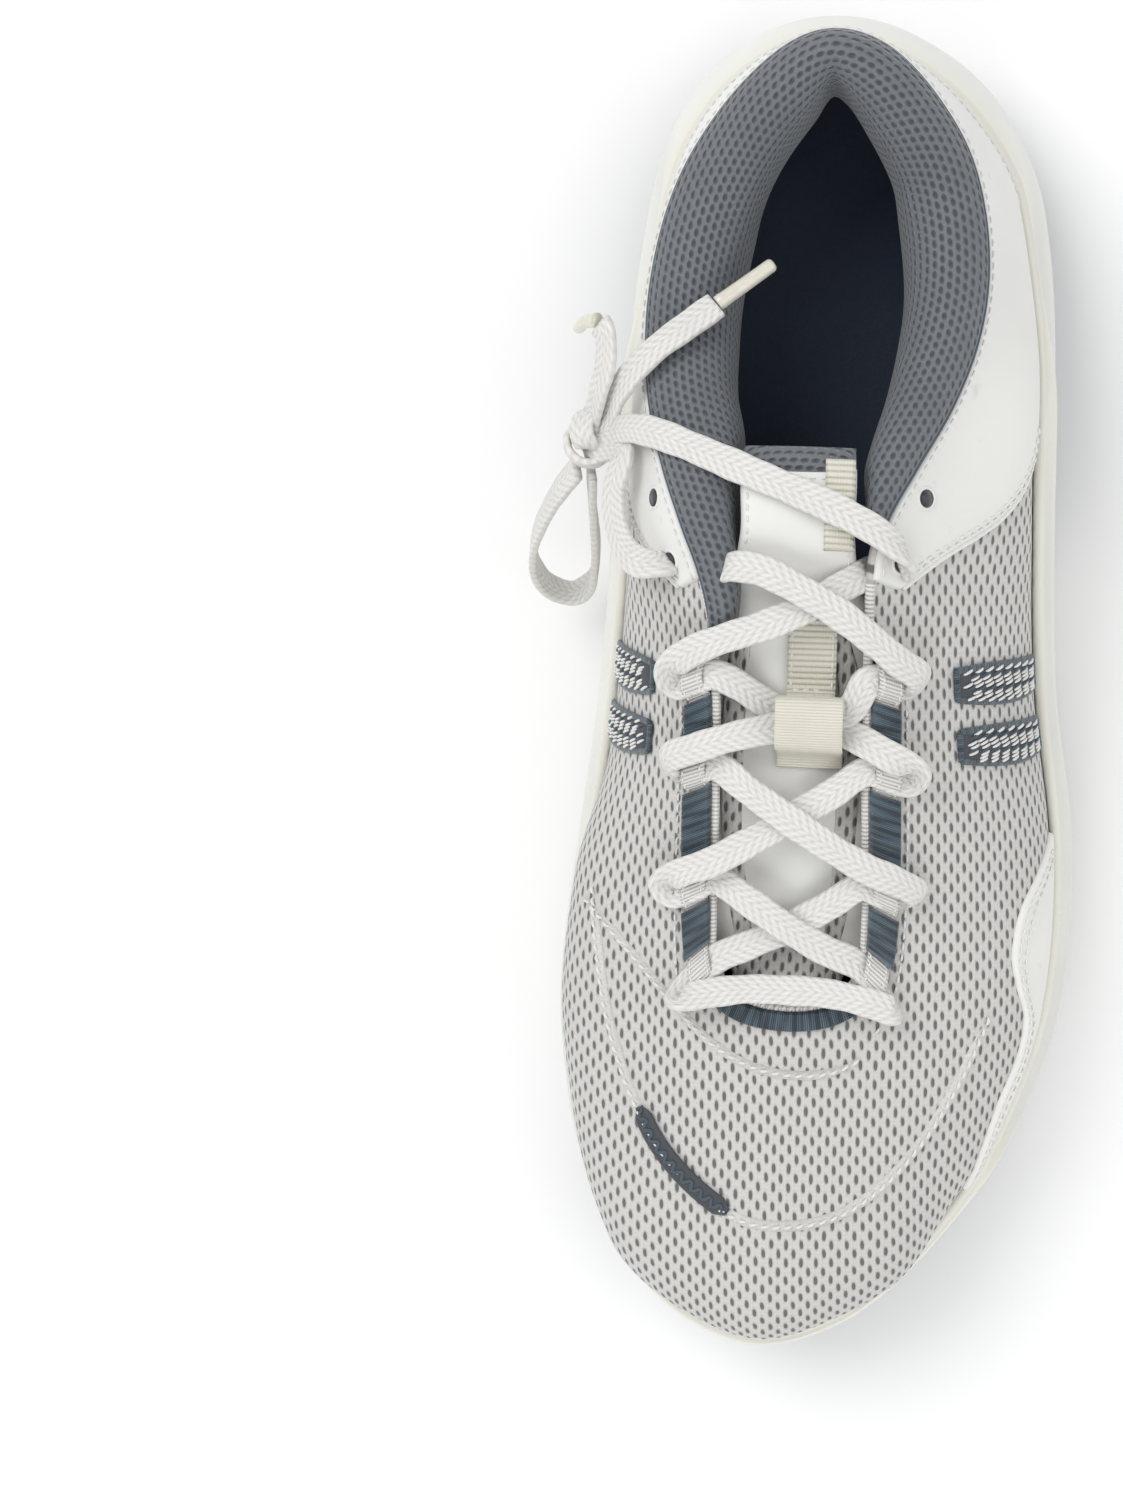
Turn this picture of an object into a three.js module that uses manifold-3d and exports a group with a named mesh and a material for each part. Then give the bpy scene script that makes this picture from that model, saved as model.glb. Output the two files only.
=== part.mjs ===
// A low court shoe for the left foot, laced and tied at the inner side.
// Millimetres, +Z up. The shoe stands on z = 0, its toe points along -Y and its outer side is +X.
import * as THREE from 'three';
import { mergeVertices } from 'three/addons/utils/BufferGeometryUtils.js';
import Module from 'manifold-3d';

const wasm = await Module();
wasm.setup();

// ---------------------------------------------------------------- driving dimensions
const shoeLength = 298;
const shoeWidth = 110;
const heelTabHeight = 88.5; // height of the upper's cut edge at the back of the heel
const wallHeight = 53.5; // highest point of the foam side wall
const toeSpring = 25.5; // how far the tip of the sole is lifted
const rubberThickness = 3;
const grooveWidth = 3; // flex gaps between the outsole rubbers
const lipThickness = 2.4; // foam lip that holds the upper
const boardThickness = 1.6;
const socklinerThickness = 4.5;
const meshThickness = 1.8;
const overlayThickness = 0.9;
const counterThickness = 1.2;
const puffThickness = 1.0;
const liningThickness = 1.5;
const collarPadding = 1; // share of the full padding depth
const collarCrest = 5.4; // how far the padding stands above the cut edge
const tongueSkin = 1.2;
const tonguePadding = 4.2;
const satinThickness = 1.1;
const tapeThickness = 0.8;
const tapeWidth = 6;
const laceThickness = 2; // diameter of the plain tube that stands for the flat lace
const laceRoom = 2.9; // free height under the tape where the lace passes
const eyeletDiameter = 4.4;
const keeperWidth = 13;
const keeperThickness = 1;
const keeperRoom = 7.5; // free height inside the lace keeper
const knotDiameter = 15;
const agletDiameter = 3.2;
const emblemThickness = 0.7;
const clearance = 0.3;

// ---------------------------------------------------------------- the base last
const lastLength = 298;
const lastWidth = 110;
const lastTabHeight = 88.5;
const lastWallHeight = 53.5;
const lastToeSpring = 25.5;
const halfPerimeter = 350;
const alongScale = shoeLength / lastLength;
const acrossScale = shoeWidth / lastWidth;
const upperScale = heelTabHeight / lastTabHeight;
const wallScale = wallHeight / lastWallHeight;
const springScale = toeSpring / lastToeSpring;

const lerp = (a, b, t) => a + (b - a) * t;
const clamp = (value, low, high) => Math.min(Math.max(value, low), high);

/** A point from its distance across, its distance from the heel and its height. */
function at(across, fromHeel, height) {
  return new THREE.Vector3(across, shoeLength / 2 - fromHeel, height);
}

/** Smooth interpolation through rows of [key, value, ...]; with a period the rows wrap round. */
function smoothRows(rows, period = 0) {
  const count = rows.length;
  const row = (index) => {
    const turn = Math.floor(index / count);
    const source = rows[index - turn * count];
    return [source[0] + turn * period, ...source.slice(1)];
  };
  const near = (index) => (period ? row(index) : rows[clamp(index, 0, count - 1)]);
  return (key) => {
    const wrapped = ((key % period) + period) % period;
    const k = period ? wrapped : clamp(key, rows[0][0], rows[count - 1][0]);
    let i = rows.findLastIndex((entry) => entry[0] <= k);
    if (!period) i = Math.min(i, count - 2);
    const [p0, p1, p2, p3] = [near(i - 1), near(i), near(i + 1), near(i + 2)];
    const span = p2[0] - p1[0];
    const t = (k - p1[0]) / span;
    return p1.slice(1).map((_, n) => {
      const c = n + 1;
      const m1 = p2[0] === p0[0] ? 0 : ((p2[c] - p0[c]) / (p2[0] - p0[0])) * span;
      const m2 = p3[0] === p1[0] ? 0 : ((p3[c] - p1[c]) / (p3[0] - p1[0])) * span;
      const t2 = t * t;
      const t3 = t2 * t;
      return (2 * t3 - 3 * t2 + 1) * p1[c] + (t3 - 2 * t2 + t) * m1
        + (3 * t2 - 2 * t3) * p2[c] + (t3 - t2) * m2;
    });
  };
}

// A key runs once round the shoe: 0 is the back of the heel, 1 the tip of the toe,
// 0 to 1 the outer side and 1 to 2 the inner side.
const sideKey = (key) => {
  const k = ((key % 2) + 2) % 2;
  return k <= 1 ? k : 2 - k;
};

// ---------------------------------------------------------------- the sole's shape
// key, across, from heel
const outlineRows = smoothRows([
  [0, -1.5, 0], [0.05, 14, 3], [0.1, 30.4, 13], [0.15, 41.4, 27.5], [0.2, 46.8, 44],
  [0.3, 49.9, 79], [0.4, 50.1, 114], [0.5, 52, 149], [0.6, 57.1, 184], [0.7, 56, 219],
  [0.78, 48.2, 245], [0.84, 39, 263], [0.9, 26, 280], [0.95, 11.5, 292],
  [1, -6.5, 298],
  [1.05, -24, 293], [1.1, -37.5, 281.5], [1.16, -46.1, 265], [1.22, -51.5, 246],
  [1.3, -55, 219], [1.4, -51.8, 184], [1.5, -47.7, 149], [1.6, -45.7, 114], [1.7, -45.3, 79],
  [1.8, -43, 44], [1.85, -39.7, 27.5], [1.9, -31, 13], [1.95, -16.5, 3],
], 2);
// side key, height of the foam wall's top edge
const lipRows = smoothRows([
  [0, 50], [0.05, 48], [0.1, 44], [0.15, 41.5], [0.2, 42], [0.25, 46], [0.3, 51.5], [0.35, 53.5],
  [0.4, 51.5], [0.45, 47.5], [0.5, 42], [0.55, 36.5], [0.6, 34.5], [0.7, 33.5], [0.78, 30.5],
  [0.84, 30], [0.9, 31.5], [1, 33.5],
]);
// side key, how far the lip stands in from the widest line
const lipInsetRows = smoothRows([
  [0, 10.5], [0.1, 9.5], [0.15, 8], [0.2, 6], [0.3, 3.6], [0.4, 2.6], [0.55, 2.2],
  [0.7, 2.2], [0.84, 1.6], [1, 1.6],
]);
// side key, height of the widest line, height that the rubber wraps up to above the ground line,
// inset of the ground edge
const lowerWallRows = smoothRows([
  [0, 21, 6, 8], [0.05, 21, 6.5, 7.5], [0.1, 22, 9, 6.5], [0.15, 24, 13, 5.5], [0.2, 26, 18, 4.8],
  [0.25, 30, 22.5, 4.2], [0.3, 33, 26.5, 3.8], [0.33, 32, 25.5, 3.6], [0.36, 27, 18, 3.4],
  [0.39, 22, 9, 3.4], [0.42, 18, 4.6, 3.4], [0.46, 15, 3.8, 3.4], [0.5, 14, 3.8, 3.4],
  [0.6, 12, 3.8, 3.4], [0.7, 12, 3.8, 3.6], [0.84, 10, 3.8, 4.5], [0.92, 7.5, 3.8, 5], [1, 6.5, 3.8, 5],
]);
// distance from heel, lift of the ground line
const groundRows = smoothRows([
  [0, 8], [8, 5], [17, 1.4], [26, 0], [60, 0], [120, 0], [190, 0], [207, 0], [224, 1.6], [248, 6],
  [267, 12.6], [281, 19.6], [292, 23.5], [298, 25.5],
]);
// distance from heel, height of the foot bed
const bedRows = smoothRows([
  [0, 30], [60, 30], [105, 27], [150, 21], [200, 17], [230, 19.5], [256, 24], [277, 28.5], [298, 31],
]);
// distance from heel, centre line's distance across
const centreRows = smoothRows([[0, -1.5], [100, 0], [200, 0], [256, -4], [298, -6.5]]);
const heelCentre = 42;
const toeCentre = 256;

function outline(key) {
  const [across, fromHeel] = outlineRows(key);
  return new THREE.Vector2(across * acrossScale, fromHeel * alongScale);
}
function centre(key) {
  const onLast = clamp(outlineRows(sideKey(key))[1], heelCentre, toeCentre);
  return new THREE.Vector2(centreRows(onLast)[0] * acrossScale, onLast * alongScale);
}
const lipHeight = (key) => lipRows(sideKey(key))[0] * wallScale;
const lipInset = (key) => lipInsetRows(sideKey(key))[0];
const bedHeight = (fromHeel) => bedRows(fromHeel / alongScale)[0];
function groundHeight(fromHeel) {
  const onLast = fromHeel / alongScale;
  const lift = groundRows(onLast)[0];
  return Math.max(0, onLast > lastLength / 2 ? lift * springScale : lift);
}

/** The plan point that stands the given distance in from the outline, towards the centre line. */
function inset(key, distance) {
  const edge = outline(key);
  return edge.add(centre(key).sub(edge).setLength(distance));
}
/** A point between the outline at the given inset (share 0) and the centre line (share 1). */
function between(key, distance, share) {
  return inset(key, distance).lerp(centre(key), share);
}

// Every piece uses the same keys, so that neighbours' facets follow each other.
const grooveKeys = [0.554, 0.692, 0.798];
const grooveHalf = grooveWidth / halfPerimeter / 2;
const stationCount = 56;
const sideStations = [...Array(stationCount / 2 + 1).keys()].map((i) => (2 * i) / stationCount)
  .filter((key) => grooveKeys.every((groove) => Math.abs(key - groove) > 0.008))
  .concat(grooveKeys.flatMap((groove) => [groove - grooveHalf, groove + grooveHalf]))
  .sort((a, b) => a - b);
const ringStations = [...sideStations, ...sideStations.slice(1, -1).reverse().map((key) => 2 - key)];
/** The stations from one key to another, where keys below 0 are on the inner side. */
function stationsBetween(from, to) {
  const all = [...ringStations.map((key) => key - 2), ...ringStations];
  return [from, ...all.filter((key) => key > from + 0.004 && key < to - 0.004), to];
}

// ---------------------------------------------------------------- solids
/** One closed solid from points and triangles, with shared corners and faces that look outward. */
function closedGeometry(points, triangles) {
  const raw = new THREE.BufferGeometry();
  raw.setAttribute('position', new THREE.Float32BufferAttribute(points.flatMap((p) => [p.x, p.y, p.z]), 3));
  raw.setIndex(triangles.flat());
  const geometry = mergeVertices(raw, 1e-3);
  const index = geometry.index.array;
  const faces = [];
  for (let i = 0; i < index.length; i += 3) {
    const face = [index[i], index[i + 1], index[i + 2]];
    if (new Set(face).size === 3) faces.push(face);
  }
  const position = geometry.attributes.position;
  const corner = (i) => new THREE.Vector3().fromBufferAttribute(position, i);
  const volume = faces.reduce((sum, [a, b, c]) => sum + corner(a).dot(corner(b).cross(corner(c))), 0);
  geometry.setIndex((volume < 0 ? faces.map(([a, b, c]) => [a, c, b]) : faces).flat());
  geometry.computeVertexNormals();
  return geometry;
}

/** A solid skinned over closed rings; the first and last rings lie folded on the centre line. */
function ringSolid(rings) {
  const count = rings[0].length;
  const triangles = [];
  for (let r = 0; r + 1 < rings.length; r++) {
    for (let i = 0; i < count; i++) {
      const next = (i + 1) % count;
      const [a, b, c, d] = [r * count + i, r * count + next, (r + 1) * count + next, (r + 1) * count + i];
      triangles.push([a, b, c], [a, c, d]);
    }
  }
  return closedGeometry(rings.flat(), triangles);
}

/**
 * A shell between two grids of points, outer[i][j] and inner[i][j]. With foldedStart the j = 0
 * edges lie folded on each other and need no rim.
 */
function shellSolid(outer, inner, { foldedStart = false } = {}) {
  const rows = outer.length;
  const columns = outer[0].length;
  const points = [...outer.flat(), ...inner.flat()];
  const out = (i, j) => i * columns + j;
  const inn = (i, j) => rows * columns + out(i, j);
  const triangles = [];
  const quad = (a, b, c, d) => triangles.push([a, b, c], [a, c, d]);
  for (let i = 0; i + 1 < rows; i++) {
    for (let j = 0; j + 1 < columns; j++) {
      quad(out(i, j), out(i + 1, j), out(i + 1, j + 1), out(i, j + 1));
      quad(inn(i, j), inn(i, j + 1), inn(i + 1, j + 1), inn(i + 1, j));
    }
    if (!foldedStart) quad(out(i, 0), inn(i, 0), inn(i + 1, 0), out(i + 1, 0));
    const last = columns - 1;
    quad(out(i, last), out(i + 1, last), inn(i + 1, last), inn(i, last));
  }
  const end = rows - 1;
  for (let j = 0; j + 1 < columns; j++) {
    quad(out(0, j), out(0, j + 1), inn(0, j + 1), inn(0, j));
    quad(out(end, j), inn(end, j), inn(end, j + 1), out(end, j + 1));
  }
  return closedGeometry(points, triangles);
}

/** A tube of even sides along a smooth curve through the points. */
function tube(points, diameter, sides = 8, steps = 60) {
  const section = new THREE.Shape();
  section.absarc(0, 0, diameter / 2, 0, 2 * Math.PI);
  const route = new THREE.CatmullRomCurve3(points, false, 'centripetal');
  return weld(new THREE.ExtrudeGeometry(section, {
    steps, bevelEnabled: false, extrudePath: route, curveSegments: sides / 2,
  }));
}

/** The same geometry with only its positions and shared corners. */
function weld(geometry) {
  const bare = geometry.clone();
  for (const name of ['normal', 'uv']) bare.deleteAttribute(name);
  const merged = mergeVertices(bare, 1e-3);
  merged.computeVertexNormals();
  return merged;
}

function toManifold(geometry) {
  const bare = weld(geometry);
  const position = bare.attributes.position.array;
  const solid = new wasm.Mesh({
    numProp: 3, vertProperties: Float32Array.from(position), triVerts: Uint32Array.from(bare.index.array),
  });
  return new wasm.Manifold(solid);
}
/** The first geometry with the others cut away. */
function cut(geometry, ...tools) {
  let solid = toManifold(geometry);
  for (const tool of tools) solid = solid.subtract(toManifold(tool));
  const mesh = solid.getMesh();
  const result = new THREE.BufferGeometry();
  result.setAttribute('position', new THREE.Float32BufferAttribute(mesh.vertProperties, 3));
  result.setIndex([...mesh.triVerts]);
  result.computeVertexNormals();
  return result;
}

// ---------------------------------------------------------------- outsole and midsole
const groundInset = (key) => lowerWallRows(sideKey(key))[2];
const edgeGround = (key) => groundHeight(inset(key, groundInset(key)).y);
const widestHeight = (key) => edgeGround(key) + lowerWallRows(sideKey(key))[0];
const wrapHeight = (key) => edgeGround(key) + lowerWallRows(sideKey(key))[1];
/** Inset of the lower wall from the widest line at a height. */
function lowerInset(key, height) {
  const share = clamp((height - edgeGround(key)) / (widestHeight(key) - edgeGround(key)), 0, 1);
  return groundInset(key) * (1 - share) ** 2;
}
const plateShares = [1, 0.45];

/** The outer (extra 0) or inner (extra = rubber) side of the rubber, from centre line to wrap edge. */
function rubberSection(key, extra) {
  const floor = plateShares.map((share) => {
    const p = between(key, groundInset(key) + extra, share);
    return at(p.x, p.y, groundHeight(p.y) + extra);
  });
  const edge = inset(key, groundInset(key) + extra);
  const top = wrapHeight(key);
  const low = edgeGround(key) + extra;
  const wall = [0.35, 0.7, 1].map((share) => {
    const height = lerp(low, top, share);
    const p = inset(key, lowerInset(key, height) + extra);
    return at(p.x, p.y, height);
  });
  return [...floor, at(edge.x, edge.y, low), ...wall];
}
function outsoleEnd(from, to) {
  const keys = stationsBetween(from, to);
  return shellSolid(
    keys.map((key) => rubberSection(key, 0)),
    keys.map((key) => rubberSection(key, rubberThickness)),
    { foldedStart: true },
  );
}
function outsolePod(from, to) {
  const keys = stationsBetween(from, to);
  const across = (extra) => keys.map((key) => {
    const inner = rubberSection(2 - key, extra);
    return [...inner.slice(1).reverse(), ...rubberSection(key, extra)];
  });
  return shellSolid(across(0), across(rubberThickness));
}

const cupInset = (key) => lipInset(key) + lipThickness;
function midsoleGeometry() {
  const seat = rubberThickness + clearance;
  const bed = (share) => ringStations.map((key) => {
    const p = between(key, cupInset(key), share);
    return at(p.x, p.y, bedHeight(p.y));
  });
  const wall = (insetOf, heightOf) => ringStations.map((key) => {
    const p = inset(key, insetOf(key));
    return at(p.x, p.y, heightOf(key));
  });
  const base = (share) => ringStations.map((key) => {
    const p = between(key, groundInset(key) + seat, share);
    return at(p.x, p.y, groundHeight(p.y) + seat);
  });
  const step = (key) => wrapHeight(key) + clearance;
  return ringSolid([
    base(1), base(0.45),
    wall((key) => groundInset(key) + seat, (key) => edgeGround(key) + seat),
    wall((key) => lowerInset(key, step(key)) + seat, step),
    wall((key) => lowerInset(key, step(key)), step),
    wall(() => 0, widestHeight),
    wall((key) => lipInset(key) * 0.2, (key) => lerp(widestHeight(key), lipHeight(key), 0.36)),
    wall((key) => lipInset(key) * 0.62, (key) => lerp(widestHeight(key), lipHeight(key), 0.72)),
    wall(lipInset, lipHeight),
    wall(cupInset, (key) => lipHeight(key) - 0.4),
    bed(0), bed(0.45), bed(1),
  ]);
}

// ---------------------------------------------------------------- upper
// key, across, from heel, height of the upper's cut edge: collar first, then the throat
const toplineRows = smoothRows([
  [0, 0, 21, 88.5], [0.05, 9.5, 23, 86.5], [0.1, 18.5, 29.5, 81], [0.15, 27, 40, 73],
  [0.2, 31.3, 52, 68.5], [0.25, 32.7, 66, 68], [0.3, 31, 80, 70.5], [0.35, 26.3, 94, 75.5],
  [0.4, 19.5, 107.5, 81.5], [0.44, 14, 119, 85.5], [0.47, 12, 129, 85], [0.5, 11.8, 139, 82],
  [0.55, 12, 155.5, 77], [0.6, 12.4, 172, 71.5], [0.65, 13, 186, 67], [0.7, 13.4, 198, 63],
  [0.78, 13, 209.5, 59.5], [0.84, 10.5, 215, 58], [0.9, 6.5, 218, 57.2], [0.95, 2, 219.3, 56.9],
  [1, -2.8, 219.7, 56.8],
  [1.05, -7.5, 219.3, 56.9], [1.1, -12, 218, 57.2], [1.16, -16, 215, 58], [1.22, -18.5, 209.5, 59.5],
  [1.3, -18.8, 198, 63], [1.35, -18.7, 186, 67], [1.4, -18.7, 172, 71.5], [1.45, -18.9, 155.5, 77],
  [1.5, -20.2, 139, 82], [1.53, -22.6, 129.5, 84], [1.56, -26.5, 120, 83.8], [1.6, -31.3, 107.5, 79.5],
  [1.65, -35, 94, 74.5], [1.7, -36.6, 80, 70.5], [1.75, -36, 66, 69], [1.8, -33, 52, 69.5],
  [1.85, -27.5, 41, 74], [1.9, -18.8, 31, 81.5], [1.95, -9, 23.5, 86.5],
], 2);
// side key, then the pull of the wall: outward and up at the lip, inward and up at the cut edge
const pullRows = smoothRows([
  [0, 2, 30, 3, 38], [0.15, 3, 26, 3, 24], [0.25, 2, 18, 3, 18], [0.35, 2, 28, 8, 22],
  [0.44, 1, 50, 24, 30], [0.5, 1, 48, 30, 26], [0.6, 3, 46, 35, 17], [0.7, 4, 44, 36, 10],
  [0.84, 10, 52, 44, 3], [0.92, 12, 58, 52, 2], [1, 12, 66, 58, 1],
]);

function topline(key) {
  const [across, fromHeel, height] = toplineRows(key);
  return at(across * acrossScale, fromHeel * alongScale, height * upperScale);
}
/** Outer face of the upper: v runs -1 at the foot bed, 0 at the lip and 1 at the cut edge. */
function upperPoint(key, v) {
  const foot = inset(key, cupInset(key) + clearance);
  const lip = at(foot.x, foot.y, lipHeight(key));
  if (v < 0) {
    const floor = at(foot.x, foot.y, bedHeight(foot.y) + clearance);
    return lip.lerp(floor, -v);
  }
  const top = topline(key);
  const [out, up, inward, rise] = pullRows(sideKey(key));
  const level = new THREE.Vector3(top.x - lip.x, top.y - lip.y, 0).normalize();
  const start = new THREE.Vector3(-level.x * out, -level.y * out, up * upperScale);
  const finish = new THREE.Vector3(level.x * inward, level.y * inward, rise * upperScale);
  const v2 = v * v;
  const v3 = v2 * v;
  return new THREE.Vector3()
    .addScaledVector(lip, 2 * v3 - 3 * v2 + 1).addScaledVector(start, v3 - 2 * v2 + v)
    .addScaledVector(top, 3 * v2 - 2 * v3).addScaledVector(finish, v3 - v2);
}
/** A point the given distance outside the upper's outer face. */
function upperOffset(key, v, distance) {
  const small = 0.01;
  const low = v > 0 ? Math.max(v - small, 0) : v - small;
  const high = v >= 0 ? Math.min(v + small, 1) : Math.min(v + small, 0);
  const around = upperPoint(key + small, v).sub(upperPoint(key - small, v));
  const upward = upperPoint(key, high).sub(upperPoint(key, low));
  return upperPoint(key, v).addScaledVector(around.cross(upward).normalize(), -distance);
}
const wallSteps = [-1, -0.5, 0, 0.12, 0.26, 0.4, 0.54, 0.68, 0.8, 0.9, 1];
/** A panel lying on the upper: from and to give v at each key, rise is its height off the upper. */
function panel(keys, from, to, rise, thickness) {
  const grid = (distance) => keys.map((key) => wallSteps
    .map((v) => upperOffset(key, clamp(v, from(key), to(key)), distance)));
  return shellSolid(grid(rise + thickness), grid(rise));
}
function upperMesh(from, to) {
  const keys = stationsBetween(from, to);
  const grid = (distance) => keys.map((key) => wallSteps.map((v) => upperOffset(key, v, distance)));
  return shellSolid(grid(0), grid(-meshThickness));
}
const quarterSeam = 0.36; // where the vamp mesh and the heel mesh meet, under the overlay

const innerFace = meshThickness + clearance; // behind the mesh
const foamFace = innerFace + counterThickness + clearance; // behind the counter

// ---------------------------------------------------------------- collar
// key, depth of the padding, how far it stands above the cut edge as a share
const paddingRows = smoothRows([
  [0, 13, 1], [0.05, 14, 1], [0.1, 16.5, 1], [0.2, 18, 1], [0.3, 15.5, 1], [0.35, 13.3, 0.9],
  [0.4, 10, 0.75], [0.455, 5.5, 0.5], [1, 5.5, 0.5],
  [1.545, 9.5, 0.6], [1.6, 16.5, 0.85], [1.65, 17.4, 1], [1.7, 18.3, 1], [1.8, 19, 1], [1.9, 17, 1],
  [1.95, 14.5, 1],
], 2);
const collarFrontOuter = 0.45;
const collarFrontInner = -0.455;
const socklinerTop = (fromHeel) => bedHeight(fromHeel) + boardThickness + socklinerThickness + 2 * clearance;

/** Visible face of the collar lining: w runs 0 at the outer seam, over the crest, to 1 at the foot. */
function liningCurve(key) {
  const top = topline(key);
  const along = topline(key + 0.01).sub(topline(key - 0.01)).setZ(0).normalize();
  const inward = new THREE.Vector3(-along.y, along.x, 0);
  if (inward.dot(at(0, 75 * alongScale, 0).sub(top)) < 0) inward.negate();
  const [depth, crest] = paddingRows(key);
  const deep = depth * collarPadding;
  const high = collarCrest * crest;
  const point = (share, height) => top.clone().addScaledVector(inward, share).setZ(top.z + height);
  const foot = inset(key, cupInset(key) + clearance + foamFace + 2 + liningThickness);
  const end = at(foot.x, foot.y, socklinerTop(foot.y) + 2 * clearance);
  const belly = point(deep * 0.95, -16);
  return new THREE.CatmullRomCurve3([
    point(-0.3, 2.1), point(deep * 0.15, 0.8 * high), point(deep * 0.5, high),
    point(deep * 0.85, 0.45 * high), point(deep, -5), belly,
    belly.clone().lerp(end, 0.45), belly.clone().lerp(end, 0.8), end,
  ], false, 'centripetal');
}
function liningPoint(key, w, depth) {
  const small = 0.01;
  const curve = liningCurve(key);
  const along = curve.getPoint(Math.min(w + small, 1)).sub(curve.getPoint(Math.max(w - small, 0)));
  const around = liningCurve(key + small).getPoint(w).sub(liningCurve(key - small).getPoint(w));
  return curve.getPoint(w).addScaledVector(along.cross(around).normalize(), -depth);
}
const liningSteps = [0, 0.12, 0.24, 0.34, 0.44, 0.54, 0.66, 0.8, 1];
function collarLining() {
  const keys = stationsBetween(collarFrontInner, collarFrontOuter);
  const grid = (depth) => keys.map((key) => liningSteps.map((w) => liningPoint(key, w, depth)));
  return shellSolid(grid(0), grid(liningThickness));
}
function collarFoam() {
  const keys = stationsBetween(collarFrontInner + 0.006, collarFrontOuter - 0.006);
  const steps = liningSteps.slice(2, -1);
  const skin = keys.map((key) => steps.map((w) => liningPoint(key, w, liningThickness + clearance)));
  const back = keys.map((key) => steps.map((w) => {
    const share = (w - steps[0]) / (steps.at(-1) - steps[0]);
    return upperOffset(key, lerp(0.93, -0.25, share), -foamFace - 1.5 * clearance);
  }));
  return shellSolid(skin, back);
}

// ---------------------------------------------------------------- foot bed pieces
function bedPad(bottomRise, thickness, edgeInset) {
  const ring = (share, rise) => ringStations.map((key) => {
    const p = between(key, cupInset(key) + edgeInset, share);
    return at(p.x, p.y, bedHeight(p.y) + rise);
  });
  const top = bottomRise + thickness;
  return ringSolid([
    ring(1, bottomRise), ring(0.45, bottomRise), ring(0, bottomRise),
    ring(0, top), ring(0.45, top), ring(1, top),
  ]);
}
const boardEdge = 2 * clearance + meshThickness + puffThickness + 2 * clearance + 0.4;

// ---------------------------------------------------------------- tongue
// distance from heel, outer edge across, inner edge across, height under the cut edge, droop at the edges
const tongueRows = smoothRows([
  [104, 6.6, -13, -7.5, 1], [112, 6.8, -13.2, -5.6, 1.5], [122, 6.8, -13, -3.2, 2],
  [131, 9, -17, 0.6, 4], [140, 15, -23, 2.2, 6], [152, 20, -27, 2.6, 8], [168, 21, -28, 2.6, 7.5],
  [184, 20, -27, 2.6, 5.5], [198, 18, -24, 2.7, 3.5], [207, 15, -21, 2.8, 2],
]);
const edgeHeightRows = smoothRows([
  [100, 82], [119, 85.5], [129, 85], [139, 82], [155.5, 77], [172, 71.5], [186, 67], [198, 63],
  [209.5, 59.5], [219.7, 56.8],
]);
const tongueTopEnd = 104;
const tongueFold = 124; // where the free top of the tongue begins
const tongueFoot = 207;

/** Point of the tongue: across runs -1 to 1, depth is measured down from its outer face. */
function tonguePoint(fromHeel, across, depth) {
  const [outer, inner, under, droop] = tongueRows(fromHeel);
  const x = lerp(inner, outer, (across + 1) / 2);
  const height = edgeHeightRows(fromHeel)[0] * upperScale - under - droop * across * across;
  return at(x * acrossScale, fromHeel * alongScale, height - depth);
}
function tongueLayer(fromStation, toStation, rows, top, thickness, narrow) {
  const stations = [...Array(rows + 1).keys()].map((i) => lerp(fromStation, toStation, i / rows));
  const acrossSteps = [-1, -0.7, -0.35, 0, 0.35, 0.7, 1].map((share) => share * narrow);
  const grid = (depth) => stations.map((s) => acrossSteps.map((share) => tonguePoint(s, share, depth)));
  return shellSolid(grid(top), grid(top + thickness));
}

// ---------------------------------------------------------------- eyestay: tape, satin bars, arch
const laceGaps = [149.5, 168, 192, 209.5]; // distance from heel of the gaps that the lace goes through
const gapLength = 8;
const satinSpans = [[153.8, 163.8], [172.3, 187.7], [196.3, 205.3]];

/** Key on one side whose cut edge lies at the given distance from the heel. */
function keyAtThroat(fromHeel, outerSide) {
  let [low, high] = [0.44, 1];
  for (let i = 0; i < 30; i++) {
    const middle = (low + high) / 2;
    if (toplineRows(outerSide ? middle : 2 - middle)[1] < fromHeel) low = middle;
    else high = middle;
  }
  return outerSide ? low : 2 - low;
}
/** v on the upper at which the wall stands the given distance outside the cut edge. */
function vFromEdge(key, distance) {
  const top = topline(key);
  let v = 1;
  while (v > 0.4 && upperPoint(key, v).distanceTo(top) < distance) v -= 0.002;
  return v;
}
const eyestayEdge = 1; // bare mesh left along the cut edge
function eyestayPoint(fromHeel, outerSide, fromEdge, rise) {
  const key = keyAtThroat(fromHeel, outerSide);
  return upperOffset(key, vFromEdge(key, fromEdge), rise);
}
/** Height of the tape's underside: it lies flat under the satin bars and arches over each gap. */
function tapeRise(fromHeel) {
  const arch = laceGaps.reduce((sum, gap) => {
    const share = clamp(1 - Math.abs(fromHeel - gap) / (gapLength / 2), 0, 1);
    return sum + Math.sin((share * Math.PI) / 2) ** 0.7;
  }, 0);
  return clearance + laceRoom * Math.min(arch, 1);
}
function laceTape(outerSide) {
  const archSteps = [-4.3, -3.2, -1.6, 0, 1.6, 3.2, 4.3];
  const stations = laceGaps.flatMap((gap) => archSteps.map((step) => gap + step)).slice(0, -1);
  const first = laceGaps[0] - 7;
  const grid = (extra) => [first, ...stations].map((s) => [0, 0.5, 1].map((share) => (
    eyestayPoint(s, outerSide, eyestayEdge + share * tapeWidth, tapeRise(s) + extra))));
  return shellSolid(grid(tapeThickness), grid(0));
}
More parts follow.
